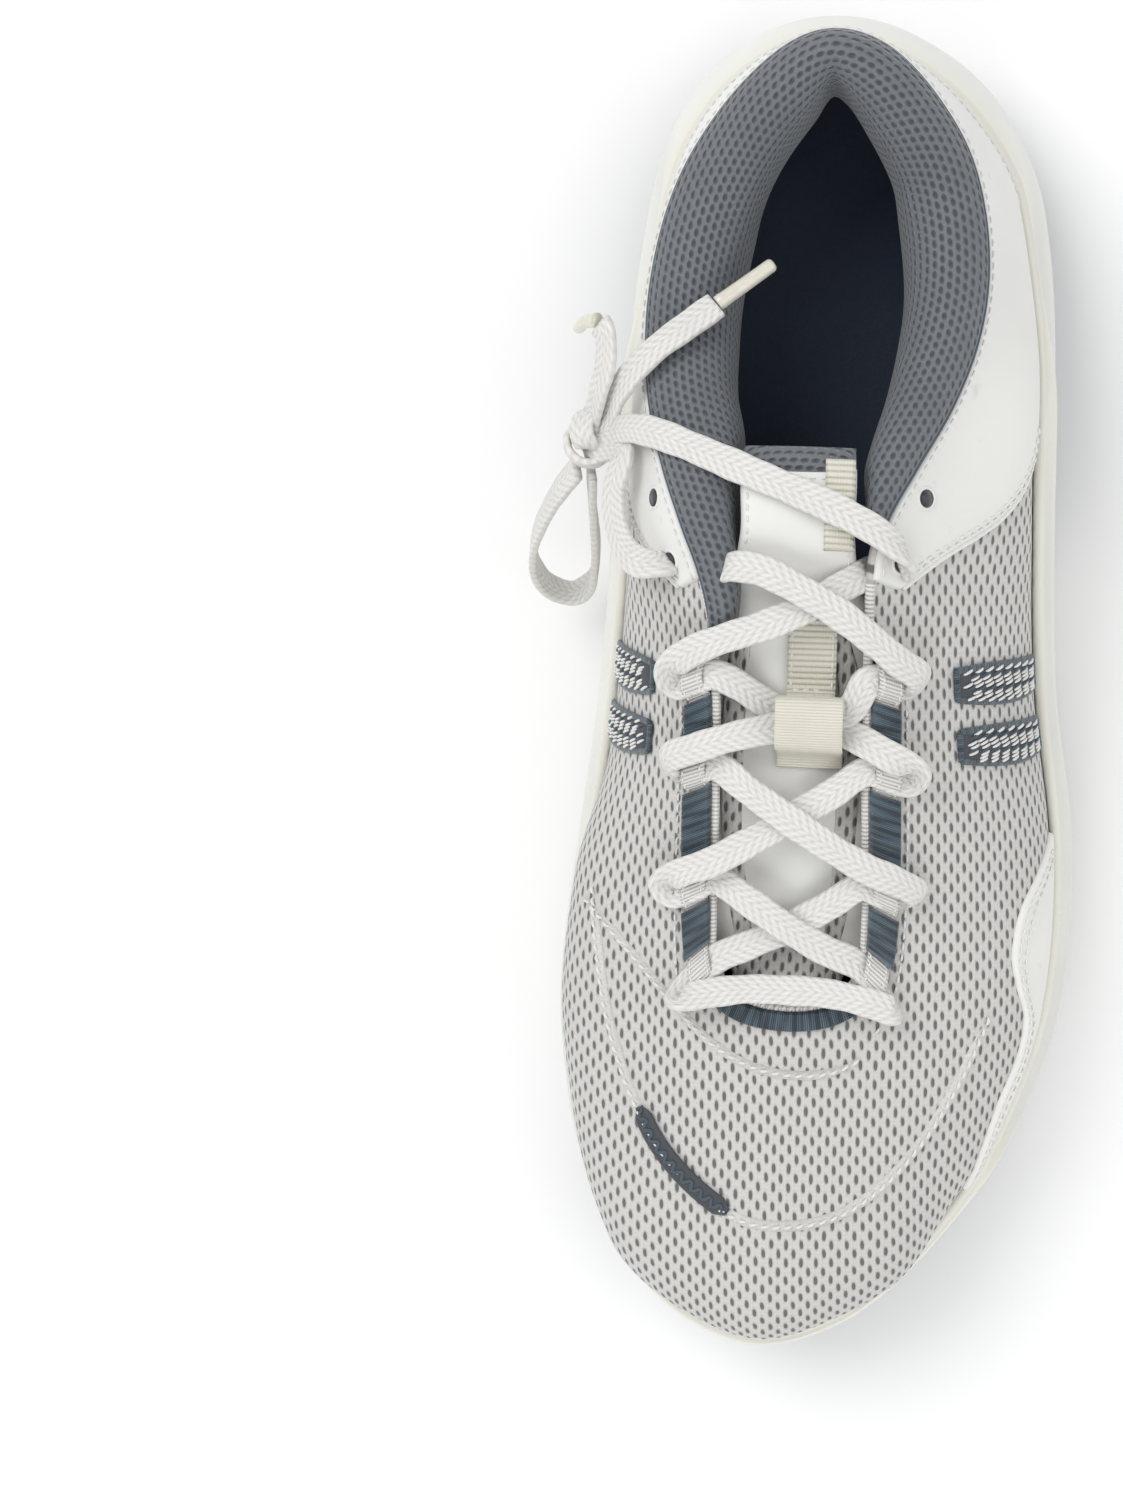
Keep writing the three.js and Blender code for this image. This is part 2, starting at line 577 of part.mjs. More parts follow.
function satinBar(outerSide, [from, to]) {
  const rise = clearance + tapeThickness + clearance;
  const stations = [0, 0.33, 0.67, 1].map((share) => lerp(from, to, share));
  const grid = (extra) => stations.map((s) => [0, 0.35, 0.7, 1].map((share) => (
    eyestayPoint(s, outerSide, eyestayEdge - 0.6 + share * (tapeWidth + 1.4), rise + extra))));
  return shellSolid(grid(satinThickness), grid(0));
}
function throatArch() {
  const keys = [...Array(15).keys()].map((i) => lerp(0.85, 1.15, i / 14));
  const grid = (extra) => keys.map((key) => [0, 0.5, 1].map((share) => (
    upperOffset(key, vFromEdge(key, 1 + share * 4.2), clearance + extra))));
  return shellSolid(grid(satinThickness), grid(0));
}

// ---------------------------------------------------------------- lace
const eyeletOuter = { across: 17, fromHeel: 126.5 };
const eyeletInner = { across: -28.5, fromHeel: 127 };
const spareHoleOuter = { across: 21.5, fromHeel: 113 };
const spareHoleInner = { across: -32.5, fromHeel: 114 };

/** A round punch through the upper, standing on the wall at a plan position near the cut edge. */
function punch({ across, fromHeel }) {
  const outerSide = across > 0;
  let best = null;
  for (let key = 0.38; key < 0.52; key += 0.004) {
    for (let v = 0.6; v < 1; v += 0.01) {
      const p = upperPoint(outerSide ? key : 2 - key, v);
      const away = Math.hypot(p.x - across * acrossScale, p.y - (shoeLength / 2 - fromHeel * alongScale));
      if (!best || away < best.away) best = { away, p, key: outerSide ? key : 2 - key, v };
    }
  }
  const normal = upperOffset(best.key, best.v, 1).sub(best.p).normalize();
  const cylinder = new THREE.CylinderGeometry(eyeletDiameter / 2, eyeletDiameter / 2, 14, 16);
  cylinder.applyQuaternion(new THREE.Quaternion().setFromUnitVectors(new THREE.Vector3(0, 1, 0), normal));
  cylinder.translate(best.p.x, best.p.y, best.p.z);
  return cylinder;
}

// Lace routes: across, distance from heel, height. The laced part zigzags from one top eyelet to
// the other; each turn goes over the tape, round its outer edge and back under it.
const lacedRoute = [
  [-29.3, 127.5, 79.7], [-28.5, 127.3, 78.8], [-26.6, 126.8, 77], [-23, 127.4, 77.6],
  [-19.6, 128.6, 80.6], [-18.2, 129, 84.8], [-15.4, 128.6, 88.4], [-10, 129.4, 90.6],
  [-3, 132.6, 90.4], [6, 137.6, 88.2], [13, 142.6, 85.4], [18, 146.4, 82.4], [22.4, 149.4, 78],
  [20.6, 152, 75], [16, 150.9, 77.9], [12.2, 150.4, 80.4], [8.6, 156.4, 78.2], [0.5, 159.2, 77.2],
  [-7, 160.8, 77.6], [-15, 162.8, 78.6], [-23, 165.6, 77.6], [-28.6, 168, 73.2], [-27.2, 171, 69.8],
  [-22.8, 169.8, 72.3], [-18.6, 168.8, 74.6], [-12, 173.4, 75.4], [-3, 179.4, 75], [7, 185.6, 73.2],
  [14.2, 189.4, 71.2], [19.4, 191.4, 68.8], [24, 194.2, 64.6], [22.2, 196, 62.6],
  [17.1, 194.3, 65.3], [12.4, 192.8, 66.7], [6, 197, 65], [-3, 202.6, 62.6], [-11, 206.6, 61.8],
  [-17.4, 209.6, 61.5], [-21, 213, 60.5], [-24.6, 217, 59.2], [-25.4, 218.8, 61.4],
  [-20.6, 217.4, 63.2], [-11, 215.8, 62.8], [-3, 215.6, 62.6], [6, 215.8, 62.8], [15.2, 217.4, 63.2],
  [20, 218.8, 61.4], [19.2, 217, 59.2], [15.5, 213, 60.5], [12, 209.6, 61.6], [5, 206.6, 64],
  [-3, 202.2, 66], [-11, 197, 67.2], [-18.4, 192.8, 66.9], [-22.5, 194.4, 65.3], [-27.6, 196.4, 62.6],
  [-29.4, 194.2, 64.6], [-24.8, 191.4, 69], [-19.2, 189.2, 71], [-12, 185, 71.6], [-3, 179.4, 72.1],
  [6, 173.4, 73.4], [12.4, 168.8, 74.6], [16.4, 169.5, 72.4], [21.4, 170.8, 69.8], [22.8, 168.4, 73],
  [17, 165.6, 77.6], [10, 162, 77.2], [0.5, 158.6, 74.8], [-8, 156, 75.8], [-14, 152.4, 78.8],
  [-19.2, 150.2, 80.5], [-23.1, 151.2, 77.8], [-27.6, 152.6, 74.4], [-29, 149.8, 77.6],
  [-24.2, 146, 82.6], [-17, 143, 85.6], [-9, 140.2, 86.4], [-1, 136.4, 86.2], [6, 132, 85.6],
  [9.8, 129.6, 83.2], [11.2, 128.4, 80.2], [13.4, 127, 78], [15.4, 126.8, 78.9], [17, 127.1, 80.9],
  [17.6, 127.2, 81.6],
];
const outerEndRoute = [
  [18, 127.3, 82.1], [19, 127, 84], [18, 124.8, 87.4], [13.4, 121.4, 90.4], [6, 117.6, 91.6],
  [-3, 113.8, 92], [-12, 110.2, 90.9], [-20, 106.8, 88.2], [-27, 103.8, 85.4], [-33, 101.4, 81.8],
  [-37.6, 100, 77.2], [-41, 99.4, 72.4], [-43.2, 99.4, 68.6],
];
const innerEndRoute = [
  [-29.7, 127.6, 80.1], [-31.6, 128.2, 81.8], [-35.6, 127.8, 80], [-39.4, 124.4, 76.4],
  [-41.8, 118.4, 73.6], [-42.4, 112.4, 72.8], [-41.4, 108.2, 74], [-40.6, 105.2, 73.6],
  [-41.4, 103.4, 71.2], [-43.3, 102.7, 68.4],
];
const knotPlace = [-48.5, 100.5, 63];
const bowRoute = [
  [-52, 106.4, 59.3], [-56.6, 110.6, 52.4], [-61, 115.6, 43.4], [-64.4, 120.8, 33.4],
  [-65.4, 125.4, 23.6], [-62.8, 129.2, 16], [-57.8, 130.4, 13], [-53.2, 128, 17.4],
  [-51, 122.6, 28], [-50.2, 116.6, 40], [-49.6, 111.4, 51], [-48.9, 107.1, 58.9],
];
const tailOverRoute = [
  [-44.6, 95.7, 67.7], [-42.4, 92, 72.4], [-38.8, 88, 77], [-34, 83.6, 79.4],
  [-28.2, 79, 79], [-22.2, 74.2, 77.8],
];
const agletOverRoute = [[-21.9, 73.9, 77.7], [-16.4, 69.6, 77], [-10.8, 65.2, 76.4]];
const tailOutRoute = [
  [-47.7, 94.3, 67.7], [-46.6, 91, 71.2], [-45.2, 87.4, 74], [-44.8, 83.4, 75.8],
  [-45.2, 80, 76.6], [-46.2, 78.4, 76.3],
];
const agletOutRoute = [[-47, 77.4, 75.5], [-49.8, 77.2, 72.4], [-51.8, 77.6, 67.4]];
const routePoints = (rows) => rows.map(([across, fromHeel, height]) => at(across, fromHeel, height));

// ---------------------------------------------------------------- keeper on the tongue
const keeperAcross = 0.5;
function laceKeeper() {
  const height = (fromHeel) => tonguePoint(fromHeel, 0, 0).z + clearance + 0.1;
  const line = [
    [138, 0], [146, 0], [152.6, 0], [154.4, 2.2], [155.6, keeperRoom], [163.6, keeperRoom],
    [165, 2.2], [166, 0], [168.5, 0],
  ];
  const spineRow = (extra) => line.map(([fromHeel, rise], i) => {
    const before = line[Math.max(i - 1, 0)];
    const after = line[Math.min(i + 1, line.length - 1)];
    const run = after[0] - before[0];
    const climb = after[1] - before[1] + height(after[0]) - height(before[0]);
    const size = Math.hypot(run, climb);
    const y = fromHeel - (climb / size) * extra;
    return [y, height(fromHeel) + rise + (run / size) * extra];
  });
  const grid = (extra) => spineRow(extra).map(([fromHeel, z]) => [-0.5, 0, 0.5].map((share) => (
    at(keeperAcross + share * keeperWidth, fromHeel * alongScale, z))));
  return shellSolid(grid(keeperThickness), grid(0));
}

// ---------------------------------------------------------------- overlays and emblem
const overlayRise = clearance + 0.15;
const heelOverlayLow = smoothRows([
  [0, 0.42], [0.05, 0.4], [0.1, 0.35], [0.15, 0.24], [0.2, 0.08], [0.23, 0.04], [0.3, 0.04],
  [0.34, 0.05], [0.37, 0.16], [0.4, 0.34], [0.44, 0.62], [0.475, 0.85],
]);
const forefootOverlayTop = smoothRows([
  [0.59, 0.06], [0.617, 0.2], [0.643, 0.3], [0.675, 0.33], [0.694, 0.28], [0.71, 0.2],
  [0.735, 0.17], [0.77, 0.185], [0.8, 0.15], [0.818, 0.09], [0.83, 0.05],
]);
/** One slanted bar of the emblem: it leans by the slant between its lower and upper edge. */
function emblemBar(middle, side) {
  const halfKey = 0.011;
  const slant = 0.055;
  const steps = [0.1, 0.22, 0.34, 0.46, 0.58];
  const grid = (rise) => [-1, 0, 1].map((share) => steps.map((v) => {
    const key = middle + share * halfKey + slant * (v - 0.34);
    return upperOffset(side > 0 ? key : 2 - key, v, rise);
  }));
  return shellSolid(grid(clearance + emblemThickness), grid(clearance));
}

// ---------------------------------------------------------------- the shoe
const part = new THREE.Group();
part.name = 'court_shoe';
function add(name, geometry, color, roughness, metalness = 0) {
  const mesh = new THREE.Mesh(geometry, new THREE.MeshStandardMaterial({ color, roughness, metalness }));
  mesh.name = name;
  part.add(mesh);
}
const rubberColor = 0x5e6068;
const foamColor = 0xe2e1da;
const meshColor = 0xd2d0cb;
const overlayColor = 0xe4e3df;
const liningColor = 0x6d7480;
const paddingColor = 0xd8d5a8;
const satinColor = 0x4d6577;
const laceColor = 0xe0deda;
const keeperColor = 0xe2dcc8;
const boardColor = 0xc9c4b4;
const socklinerColor = 0x16202e;
const plasticColor = 0xd8d8d4;

// Sole unit.
const [grooveA, grooveB, grooveC] = grooveKeys;
add('outsole_heel', outsoleEnd(-(grooveA - grooveHalf), grooveA - grooveHalf), rubberColor, 0.75);
add('outsole_arch_pod', outsolePod(grooveA + grooveHalf, grooveB - grooveHalf), rubberColor, 0.75);
add('outsole_ball_pod', outsolePod(grooveB + grooveHalf, grooveC - grooveHalf), rubberColor, 0.75);
add('outsole_toe_pod', outsoleEnd(grooveC + grooveHalf, 2 - grooveC - grooveHalf), rubberColor, 0.75);
add('midsole', midsoleGeometry(), foamColor, 0.6);
add('strobel_board', bedPad(clearance, boardThickness, boardEdge), boardColor, 0.9);
const socklinerRise = 2 * clearance + boardThickness;
add('sockliner', bedPad(socklinerRise, socklinerThickness, boardEdge + 0.6), socklinerColor, 0.95);

// Upper, with the holes for the lace.
const eyelets = [punch(eyeletOuter), punch(eyeletInner), punch(spareHoleOuter), punch(spareHoleInner)];
const vamp = upperMesh(quarterSeam, 2 - quarterSeam);
add('vamp_mesh', cut(vamp, ...eyelets), meshColor, 0.9);
add('heel_mesh', upperMesh(-quarterSeam + 0.002, quarterSeam - 0.002), meshColor, 0.9);
const overlayKeys = stationsBetween(-0.474, 0.474);
const heelOverlay = panel(
  overlayKeys,
  (key) => heelOverlayLow(sideKey(key))[0],
  () => 0.985,
  overlayRise, overlayThickness,
);
add('heel_overlay', cut(heelOverlay, ...eyelets), overlayColor, 0.55);
const forefootOverlay = panel(
  stationsBetween(0.59, 0.83),
  () => 0.035,
  (key) => 0.012 + forefootOverlayTop(key)[0],
  clearance, overlayThickness,
);
add('forefoot_overlay', forefootOverlay, overlayColor, 0.55);
const counterKeys = stationsBetween(-0.24, 0.24);
add('heel_counter', panel(counterKeys, () => -0.9, (key) => lerp(0.72, 0.3, (sideKey(key) / 0.24) ** 2),
  -innerFace - counterThickness, counterThickness), plasticColor, 0.6);
const puffKeys = stationsBetween(0.8, 1.2);
add('toe_puff', panel(puffKeys, () => -0.7, (key) => lerp(0.42, 0.12, (Math.abs(key - 1) / 0.2) ** 2),
  -innerFace - puffThickness, puffThickness), plasticColor, 0.6);
add('collar_lining', collarLining(), liningColor, 0.95);
add('collar_foam', collarFoam(), paddingColor, 0.95);

// Eyestay.
for (const [side, outerSide] of [['outer', true], ['inner', false]]) {
  add(`lace_tape_${side}`, laceTape(outerSide), laceColor, 0.85);
  satinSpans.forEach((span, i) => {
    add(`satin_bar_${side}_${i + 1}`, satinBar(outerSide, span), satinColor, 0.5);
  });
}
add('throat_arch', throatArch(), satinColor, 0.5);

// Emblem: two slanted bars on each side.
for (const [side, sign] of [['outer', 1], ['inner', -1]]) {
  add(`emblem_front_${side}`, emblemBar(0.542, sign), satinColor, 0.5);
  add(`emblem_rear_${side}`, emblemBar(0.505, sign), satinColor, 0.5);
}

// Tongue: its free top is a piece of its own, which folds back over the opening.
const tongueGap = 0.25;
const foamTop = tongueSkin + 0.2;
const liningTop = foamTop + tonguePadding + 0.2;
const tongueStart = tongueFold + tongueGap;
add('tongue_shell', tongueLayer(tongueStart, tongueFoot, 12, 0, tongueSkin, 1), overlayColor, 0.6);
const tonguePad = tongueLayer(tongueStart, tongueFoot - 4, 10, foamTop, tonguePadding, 0.96);
add('tongue_foam', tonguePad, paddingColor, 0.95);
const tongueBack = tongueLayer(tongueStart, tongueFoot - 2, 10, liningTop, tongueSkin, 0.98);
add('tongue_lining', tongueBack, liningColor, 0.95);
const flapThickness = liningTop + tongueSkin;
const tongueFlap = tongueLayer(tongueTopEnd, tongueFold - tongueGap, 4, 0, flapThickness, 1);
add('tongue_top', tongueFlap, overlayColor, 0.7);
add('lace_keeper', laceKeeper(), keeperColor, 0.85);

// Lace.
add('lace_laced', tube(routePoints(lacedRoute), laceThickness, 8, 120), laceColor, 0.85);
add('lace_end_outer', tube(routePoints(outerEndRoute), laceThickness, 8, 30), laceColor, 0.85);
add('lace_end_inner', tube(routePoints(innerEndRoute), laceThickness, 8, 20), laceColor, 0.85);
add('lace_bow', tube(routePoints(bowRoute), laceThickness, 8, 40), laceColor, 0.85);
add('lace_tail_over', tube(routePoints(tailOverRoute), laceThickness, 8, 20), laceColor, 0.85);
add('lace_tail_out', tube(routePoints(tailOutRoute), laceThickness, 8, 14), laceColor, 0.85);
add('aglet_over', tube(routePoints(agletOverRoute), agletDiameter, 12, 3), keeperColor, 0.4);
add('aglet_out', tube(routePoints(agletOutRoute), agletDiameter, 12, 4), keeperColor, 0.4);
const knot = new THREE.SphereGeometry(knotDiameter / 2, 14, 10);
knot.translate(...at(...knotPlace).toArray());
add('lace_knot', weld(knot), laceColor, 0.85);

export default part;
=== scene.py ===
"""A low court shoe for the left foot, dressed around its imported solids.

Metres in Blender, millimetres in the tables: +Z is up, the toe points along -Y and the outer side is +X.
"""
import math

import bpy
import numpy as np
from bpy.props import FloatProperty, FloatVectorProperty, PointerProperty
from mathutils import Matrix, Vector
from mathutils.kdtree import KDTree


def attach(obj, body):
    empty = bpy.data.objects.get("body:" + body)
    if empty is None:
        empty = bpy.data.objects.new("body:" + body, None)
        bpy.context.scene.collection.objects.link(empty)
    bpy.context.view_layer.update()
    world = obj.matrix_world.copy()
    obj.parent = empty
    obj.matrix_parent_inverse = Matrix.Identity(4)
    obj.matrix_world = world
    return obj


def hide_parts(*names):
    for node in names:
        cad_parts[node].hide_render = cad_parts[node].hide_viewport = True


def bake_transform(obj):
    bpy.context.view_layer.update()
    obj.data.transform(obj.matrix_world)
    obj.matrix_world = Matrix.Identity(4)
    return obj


bl_info = {
    "name": "Court shoe",
    "version": (1, 0, 0),
    "blender": (4, 5, 0),
    "location": "3D View > Sidebar > Shoe",
    "description": "Builds the looks of a laced court shoe around its solids",
    "category": "Object",
}

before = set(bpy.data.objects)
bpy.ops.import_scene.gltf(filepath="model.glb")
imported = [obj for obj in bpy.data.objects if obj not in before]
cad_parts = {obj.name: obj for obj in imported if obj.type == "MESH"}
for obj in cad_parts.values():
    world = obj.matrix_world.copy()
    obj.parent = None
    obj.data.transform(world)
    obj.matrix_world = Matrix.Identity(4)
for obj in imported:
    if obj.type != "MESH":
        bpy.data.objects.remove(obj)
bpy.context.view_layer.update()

MM = 0.001
SHOE_LENGTH = 298.0
HALF_LENGTH = SHOE_LENGTH / 2
THROAT_CENTRE = -3.0
CLEARANCE = 0.3
RUBBER = 3.0
LIP = 2.4
MESH = 1.8
BOARD = 1.6
SOCK = 4.5
COLLAR_CREST = 5.4
COUNTER = 1.2
COLLAR_FOAM = 2
LINING = 1.5
LINING_MIDDLE = 75
GROOVES = (0.554, 0.692, 0.798)
GROOVE_HALF = 3 / 350 / 2
UPWARD = np.array([0.0, 0.0, 1.0])


# ------------------------------------------------------------------------------ the shoe's shape
class Rows:
    """Smooth interpolation through rows of (key, value, ...); with a period the rows wrap round."""

    def __init__(self, rows, period=0.0):
        table = np.array(rows, float)
        if period:
            turn = np.zeros_like(table)
            turn[:, 0] = period
            table = np.vstack([table - turn, table, table + turn])
        self.period = period
        self.keys, self.values = table[:, 0], table[:, 1:]
        k, v = self.keys, self.values
        self.slopes = np.empty_like(v)
        self.slopes[1:-1] = (v[2:] - v[:-2]) / (k[2:] - k[:-2])[:, None]
        self.slopes[0] = (v[1] - v[0]) / (k[1] - k[0])
        self.slopes[-1] = (v[-1] - v[-2]) / (k[-1] - k[-2])

    def __call__(self, key):
        key = np.asarray(key, float)
        key = np.mod(key, self.period) if self.period else np.clip(key, self.keys[0], self.keys[-1])
        i = np.clip(np.searchsorted(self.keys, key, side="right") - 1, 0, len(self.keys) - 2)
        span = (self.keys[i + 1] - self.keys[i])[..., None]
        t = (key - self.keys[i])[..., None] / span
        a, b = self.values[i], self.values[i + 1]
        ma, mb = self.slopes[i] * span, self.slopes[i + 1] * span
        return (a * (2 * t**3 - 3 * t**2 + 1) + ma * (t**3 - 2 * t**2 + t)
                + b * (3 * t**2 - 2 * t**3) + mb * (t**3 - t**2))

    def one(self, key):
        return self(key)[..., 0]


# A key runs once round the shoe: 0 is the back of the heel, 1 the tip of the toe,
# 0 to 1 the outer side and 1 to 2 the inner side. Below: key, across, from heel.
OUTLINE = Rows([
    (0, -1.5, 0), (0.05, 14, 3), (0.1, 30.4, 13), (0.15, 41.4, 27.5), (0.2, 46.8, 44),
    (0.3, 49.9, 79), (0.4, 50.1, 114), (0.5, 52, 149), (0.6, 57.1, 184), (0.7, 56, 219),
    (0.78, 48.2, 245), (0.84, 39, 263), (0.9, 26, 280), (0.95, 11.5, 292), (1, -6.5, 298),
    (1.05, -24, 293), (1.1, -37.5, 281.5), (1.16, -46.1, 265), (1.22, -51.5, 246),
    (1.3, -55, 219), (1.4, -51.8, 184), (1.5, -47.7, 149), (1.6, -45.7, 114), (1.7, -45.3, 79),
    (1.8, -43, 44), (1.85, -39.7, 27.5), (1.9, -31, 13), (1.95, -16.5, 3),
], 2)
# side key, height of the foam wall's top edge, inset of that edge from the widest line
LIP_LINE = Rows([
    (0, 50, 10.5), (0.05, 48, 10), (0.1, 44, 9.5), (0.15, 41.5, 8), (0.2, 42, 6), (0.25, 46, 4.75),
    (0.3, 51.5, 3.6), (0.35, 53.5, 3.1), (0.4, 51.5, 2.6), (0.45, 47.5, 2.45), (0.5, 42, 2.3),
    (0.55, 36.5, 2.2), (0.6, 34.5, 2.2), (0.7, 33.5, 2.2), (0.78, 30.5, 1.9), (0.84, 30, 1.6),
    (0.9, 31.5, 1.6), (1, 33.5, 1.6),
])
# side key, height of the widest line, height of the rubber's edge, inset of the ground edge
LOWER_WALL = Rows([
    (0, 21, 6, 8), (0.05, 21, 6.5, 7.5), (0.1, 22, 9, 6.5), (0.15, 24, 13, 5.5), (0.2, 26, 18, 4.8),
    (0.25, 30, 22.5, 4.2), (0.3, 33, 26.5, 3.8), (0.33, 32, 25.5, 3.6), (0.36, 27, 18, 3.4),
    (0.39, 22, 9, 3.4), (0.42, 18, 4.6, 3.4), (0.46, 15, 3.8, 3.4), (0.5, 14, 3.8, 3.4),
    (0.6, 12, 3.8, 3.4), (0.7, 12, 3.8, 3.6), (0.84, 10, 3.8, 4.5), (0.92, 7.5, 3.8, 5), (1, 6.5, 3.8, 5),
])
GROUND = Rows([
    (0, 8), (8, 5), (17, 1.4), (26, 0), (60, 0), (120, 0), (190, 0), (207, 0), (224, 1.6), (248, 6),
    (267, 12.6), (281, 19.6), (292, 23.5), (298, 25.5),
])
BED = Rows([
    (0, 30), (60, 30), (105, 27), (150, 21), (200, 17), (230, 19.5), (256, 24), (277, 28.5), (298, 31),
])
CENTRE_LINE = Rows([(0, -1.5), (100, 0), (200, 0), (256, -4), (298, -6.5)])
# key, across, from heel, height of the upper's cut edge: collar first, then the throat
TOPLINE = Rows([
    (0, 0, 21, 88.5), (0.05, 9.5, 23, 86.5), (0.1, 18.5, 29.5, 81), (0.15, 27, 40, 73),
    (0.2, 31.3, 52, 68.5), (0.25, 32.7, 66, 68), (0.3, 31, 80, 70.5), (0.35, 26.3, 94, 75.5),
    (0.4, 19.5, 107.5, 81.5), (0.44, 14, 119, 85.5), (0.47, 12, 129, 85), (0.5, 11.8, 139, 82),
    (0.55, 12, 155.5, 77), (0.6, 12.4, 172, 71.5), (0.65, 13, 186, 67), (0.7, 13.4, 198, 63),
    (0.78, 13, 209.5, 59.5), (0.84, 10.5, 215, 58), (0.9, 6.5, 218, 57.2), (0.95, 2, 219.3, 56.9),
    (1, -2.8, 219.7, 56.8),
    (1.05, -7.5, 219.3, 56.9), (1.1, -12, 218, 57.2), (1.16, -16, 215, 58), (1.22, -18.5, 209.5, 59.5),
    (1.3, -18.8, 198, 63), (1.35, -18.7, 186, 67), (1.4, -18.7, 172, 71.5), (1.45, -18.9, 155.5, 77),
    (1.5, -20.2, 139, 82), (1.53, -22.6, 129.5, 84), (1.56, -26.5, 120, 83.8), (1.6, -31.3, 107.5, 79.5),
    (1.65, -35, 94, 74.5), (1.7, -36.6, 80, 70.5), (1.75, -36, 66, 69), (1.8, -33, 52, 69.5),
    (1.85, -27.5, 41, 74), (1.9, -18.8, 31, 81.5), (1.95, -9, 23.5, 86.5),
], 2)
# side key, then the wall's pull: outward and up at the lip, inward and up at the cut edge
PULL = Rows([
    (0, 2, 30, 3, 38), (0.15, 3, 26, 3, 24), (0.25, 2, 18, 3, 18), (0.35, 2, 28, 8, 22),
    (0.44, 1, 50, 24, 30), (0.5, 1, 48, 30, 26), (0.6, 3, 46, 35, 17), (0.7, 4, 44, 36, 10),
    (0.84, 10, 52, 44, 3), (0.92, 12, 58, 52, 2), (1, 12, 66, 58, 1),
])
# key, depth of the collar padding, how far it stands above the cut edge as a share
PADDING = Rows([
    (0, 9, 1), (0.02, 10.2, 1), (0.05, 12, 1), (0.1, 14, 1), (0.2, 16.8, 1), (0.3, 15.5, 1), (0.35, 13.3, 0.9),
    (0.4, 10, 0.75), (0.455, 5.5, 0.5), (1, 5.5, 0.5), (1.485, 4.5, 0.35), (1.52, 7.5, 0.55),
    (1.545, 9.5, 0.6), (1.6, 16.5, 0.85), (1.65, 17.4, 1), (1.7, 18.3, 1), (1.8, 18, 1), (1.9, 14.5, 1),
    (1.95, 12.5, 1), (1.98, 10.4, 1),
], 2)
# from heel, the tongue's outer edge, inner edge, depth under the cut edge, droop at its edges
TONGUE = Rows([
    (104, 8.2, -15, -7.5, 1), (112, 8.5, -15.2, -5.6, 1.5), (122, 8.5, -15, -3.2, 2),
    (131, 10, -17.6, 0.6, 4), (140, 15, -23, 2.2, 6), (152, 20, -27, 2.6, 8), (168, 21, -28, 2.6, 7.5),
    (184, 20, -27, 2.6, 5.5), (198, 18, -24, 2.7, 3.5), (207, 15, -21, 2.8, 2),
])
THROAT_HEIGHT = Rows([
    (100, 82), (119, 85.5), (129, 85), (139, 82), (155.5, 77), (172, 71.5), (186, 67), (198, 63),
    (209.5, 59.5), (219.7, 56.8),
])


def side_key(key):
    key = np.mod(key, 2)
    return np.where(key <= 1, key, 2 - key)


def lerp(a, b, share):
    return a + (b - a) * share


def smooth(low, high, value):
    t = np.clip((value - low) / (high - low), 0, 1)
    return t * t * (3 - 2 * t)


def unit(vectors):
    size = np.linalg.norm(vectors, axis=-1, keepdims=True)
    return vectors / np.maximum(size, 1e-9)


def window(value, start, full, drop, end):
    """Rises from 0 to 1 between start and full, and falls back between drop and end."""
    return smooth(start, full, value) * (1 - smooth(drop, end, value))


def bell(value, width):
    return np.exp(-((value / width) ** 2))


def flat_uv(across, along):
    """Flat coordinates in metres from distances in millimetres."""
    return np.stack(np.broadcast_arrays(across, along), -1) * MM


def at(across, from_heel, height):
    """Points in the shoe's frame, in millimetres."""
    across, from_heel, height = np.broadcast_arrays(across, from_heel, height)
    return np.stack([across, HALF_LENGTH - from_heel, height], axis=-1).astype(float)


def centre(key):
    along = np.clip(OUTLINE(side_key(key))[..., 1], 42, 256)
    return np.stack([CENTRE_LINE.one(along), along], axis=-1)


def inset(key, distance):
    """Plan point (across, from heel) that stands in from the outline, towards the centre line."""
    edge = OUTLINE(key)
    return edge + unit(centre(key) - edge) * np.asarray(distance, float)[..., None]


def lip_height(key):
    return LIP_LINE(side_key(key))[..., 0]


def lip_inset(key):
    return LIP_LINE(side_key(key))[..., 1]


def cup_inset(key):
    return lip_inset(key) + LIP


def ground_height(from_heel):
    return np.maximum(GROUND.one(from_heel), 0)


def ground_inset(key):
    return LOWER_WALL(side_key(key))[..., 2]


def edge_ground(key):
    return ground_height(inset(key, ground_inset(key))[..., 1])


def widest_height(key):
    return edge_ground(key) + LOWER_WALL(side_key(key))[..., 0]


def wrap_height(key):
    return edge_ground(key) + LOWER_WALL(side_key(key))[..., 1]


def wall_inset(key, height):
    """Inset of the foam wall from the widest line, below it and above it."""
    ground, widest, lip = edge_ground(key), widest_height(key), lip_height(key)
    below = ground_inset(key) * (1 - np.clip((height - ground) / (widest - ground), 0, 1)) ** 2
    above = lip_inset(key) * np.clip((height - widest) / (lip - widest), 0, 1) ** 1.6
    return np.where(height < widest, below, above)


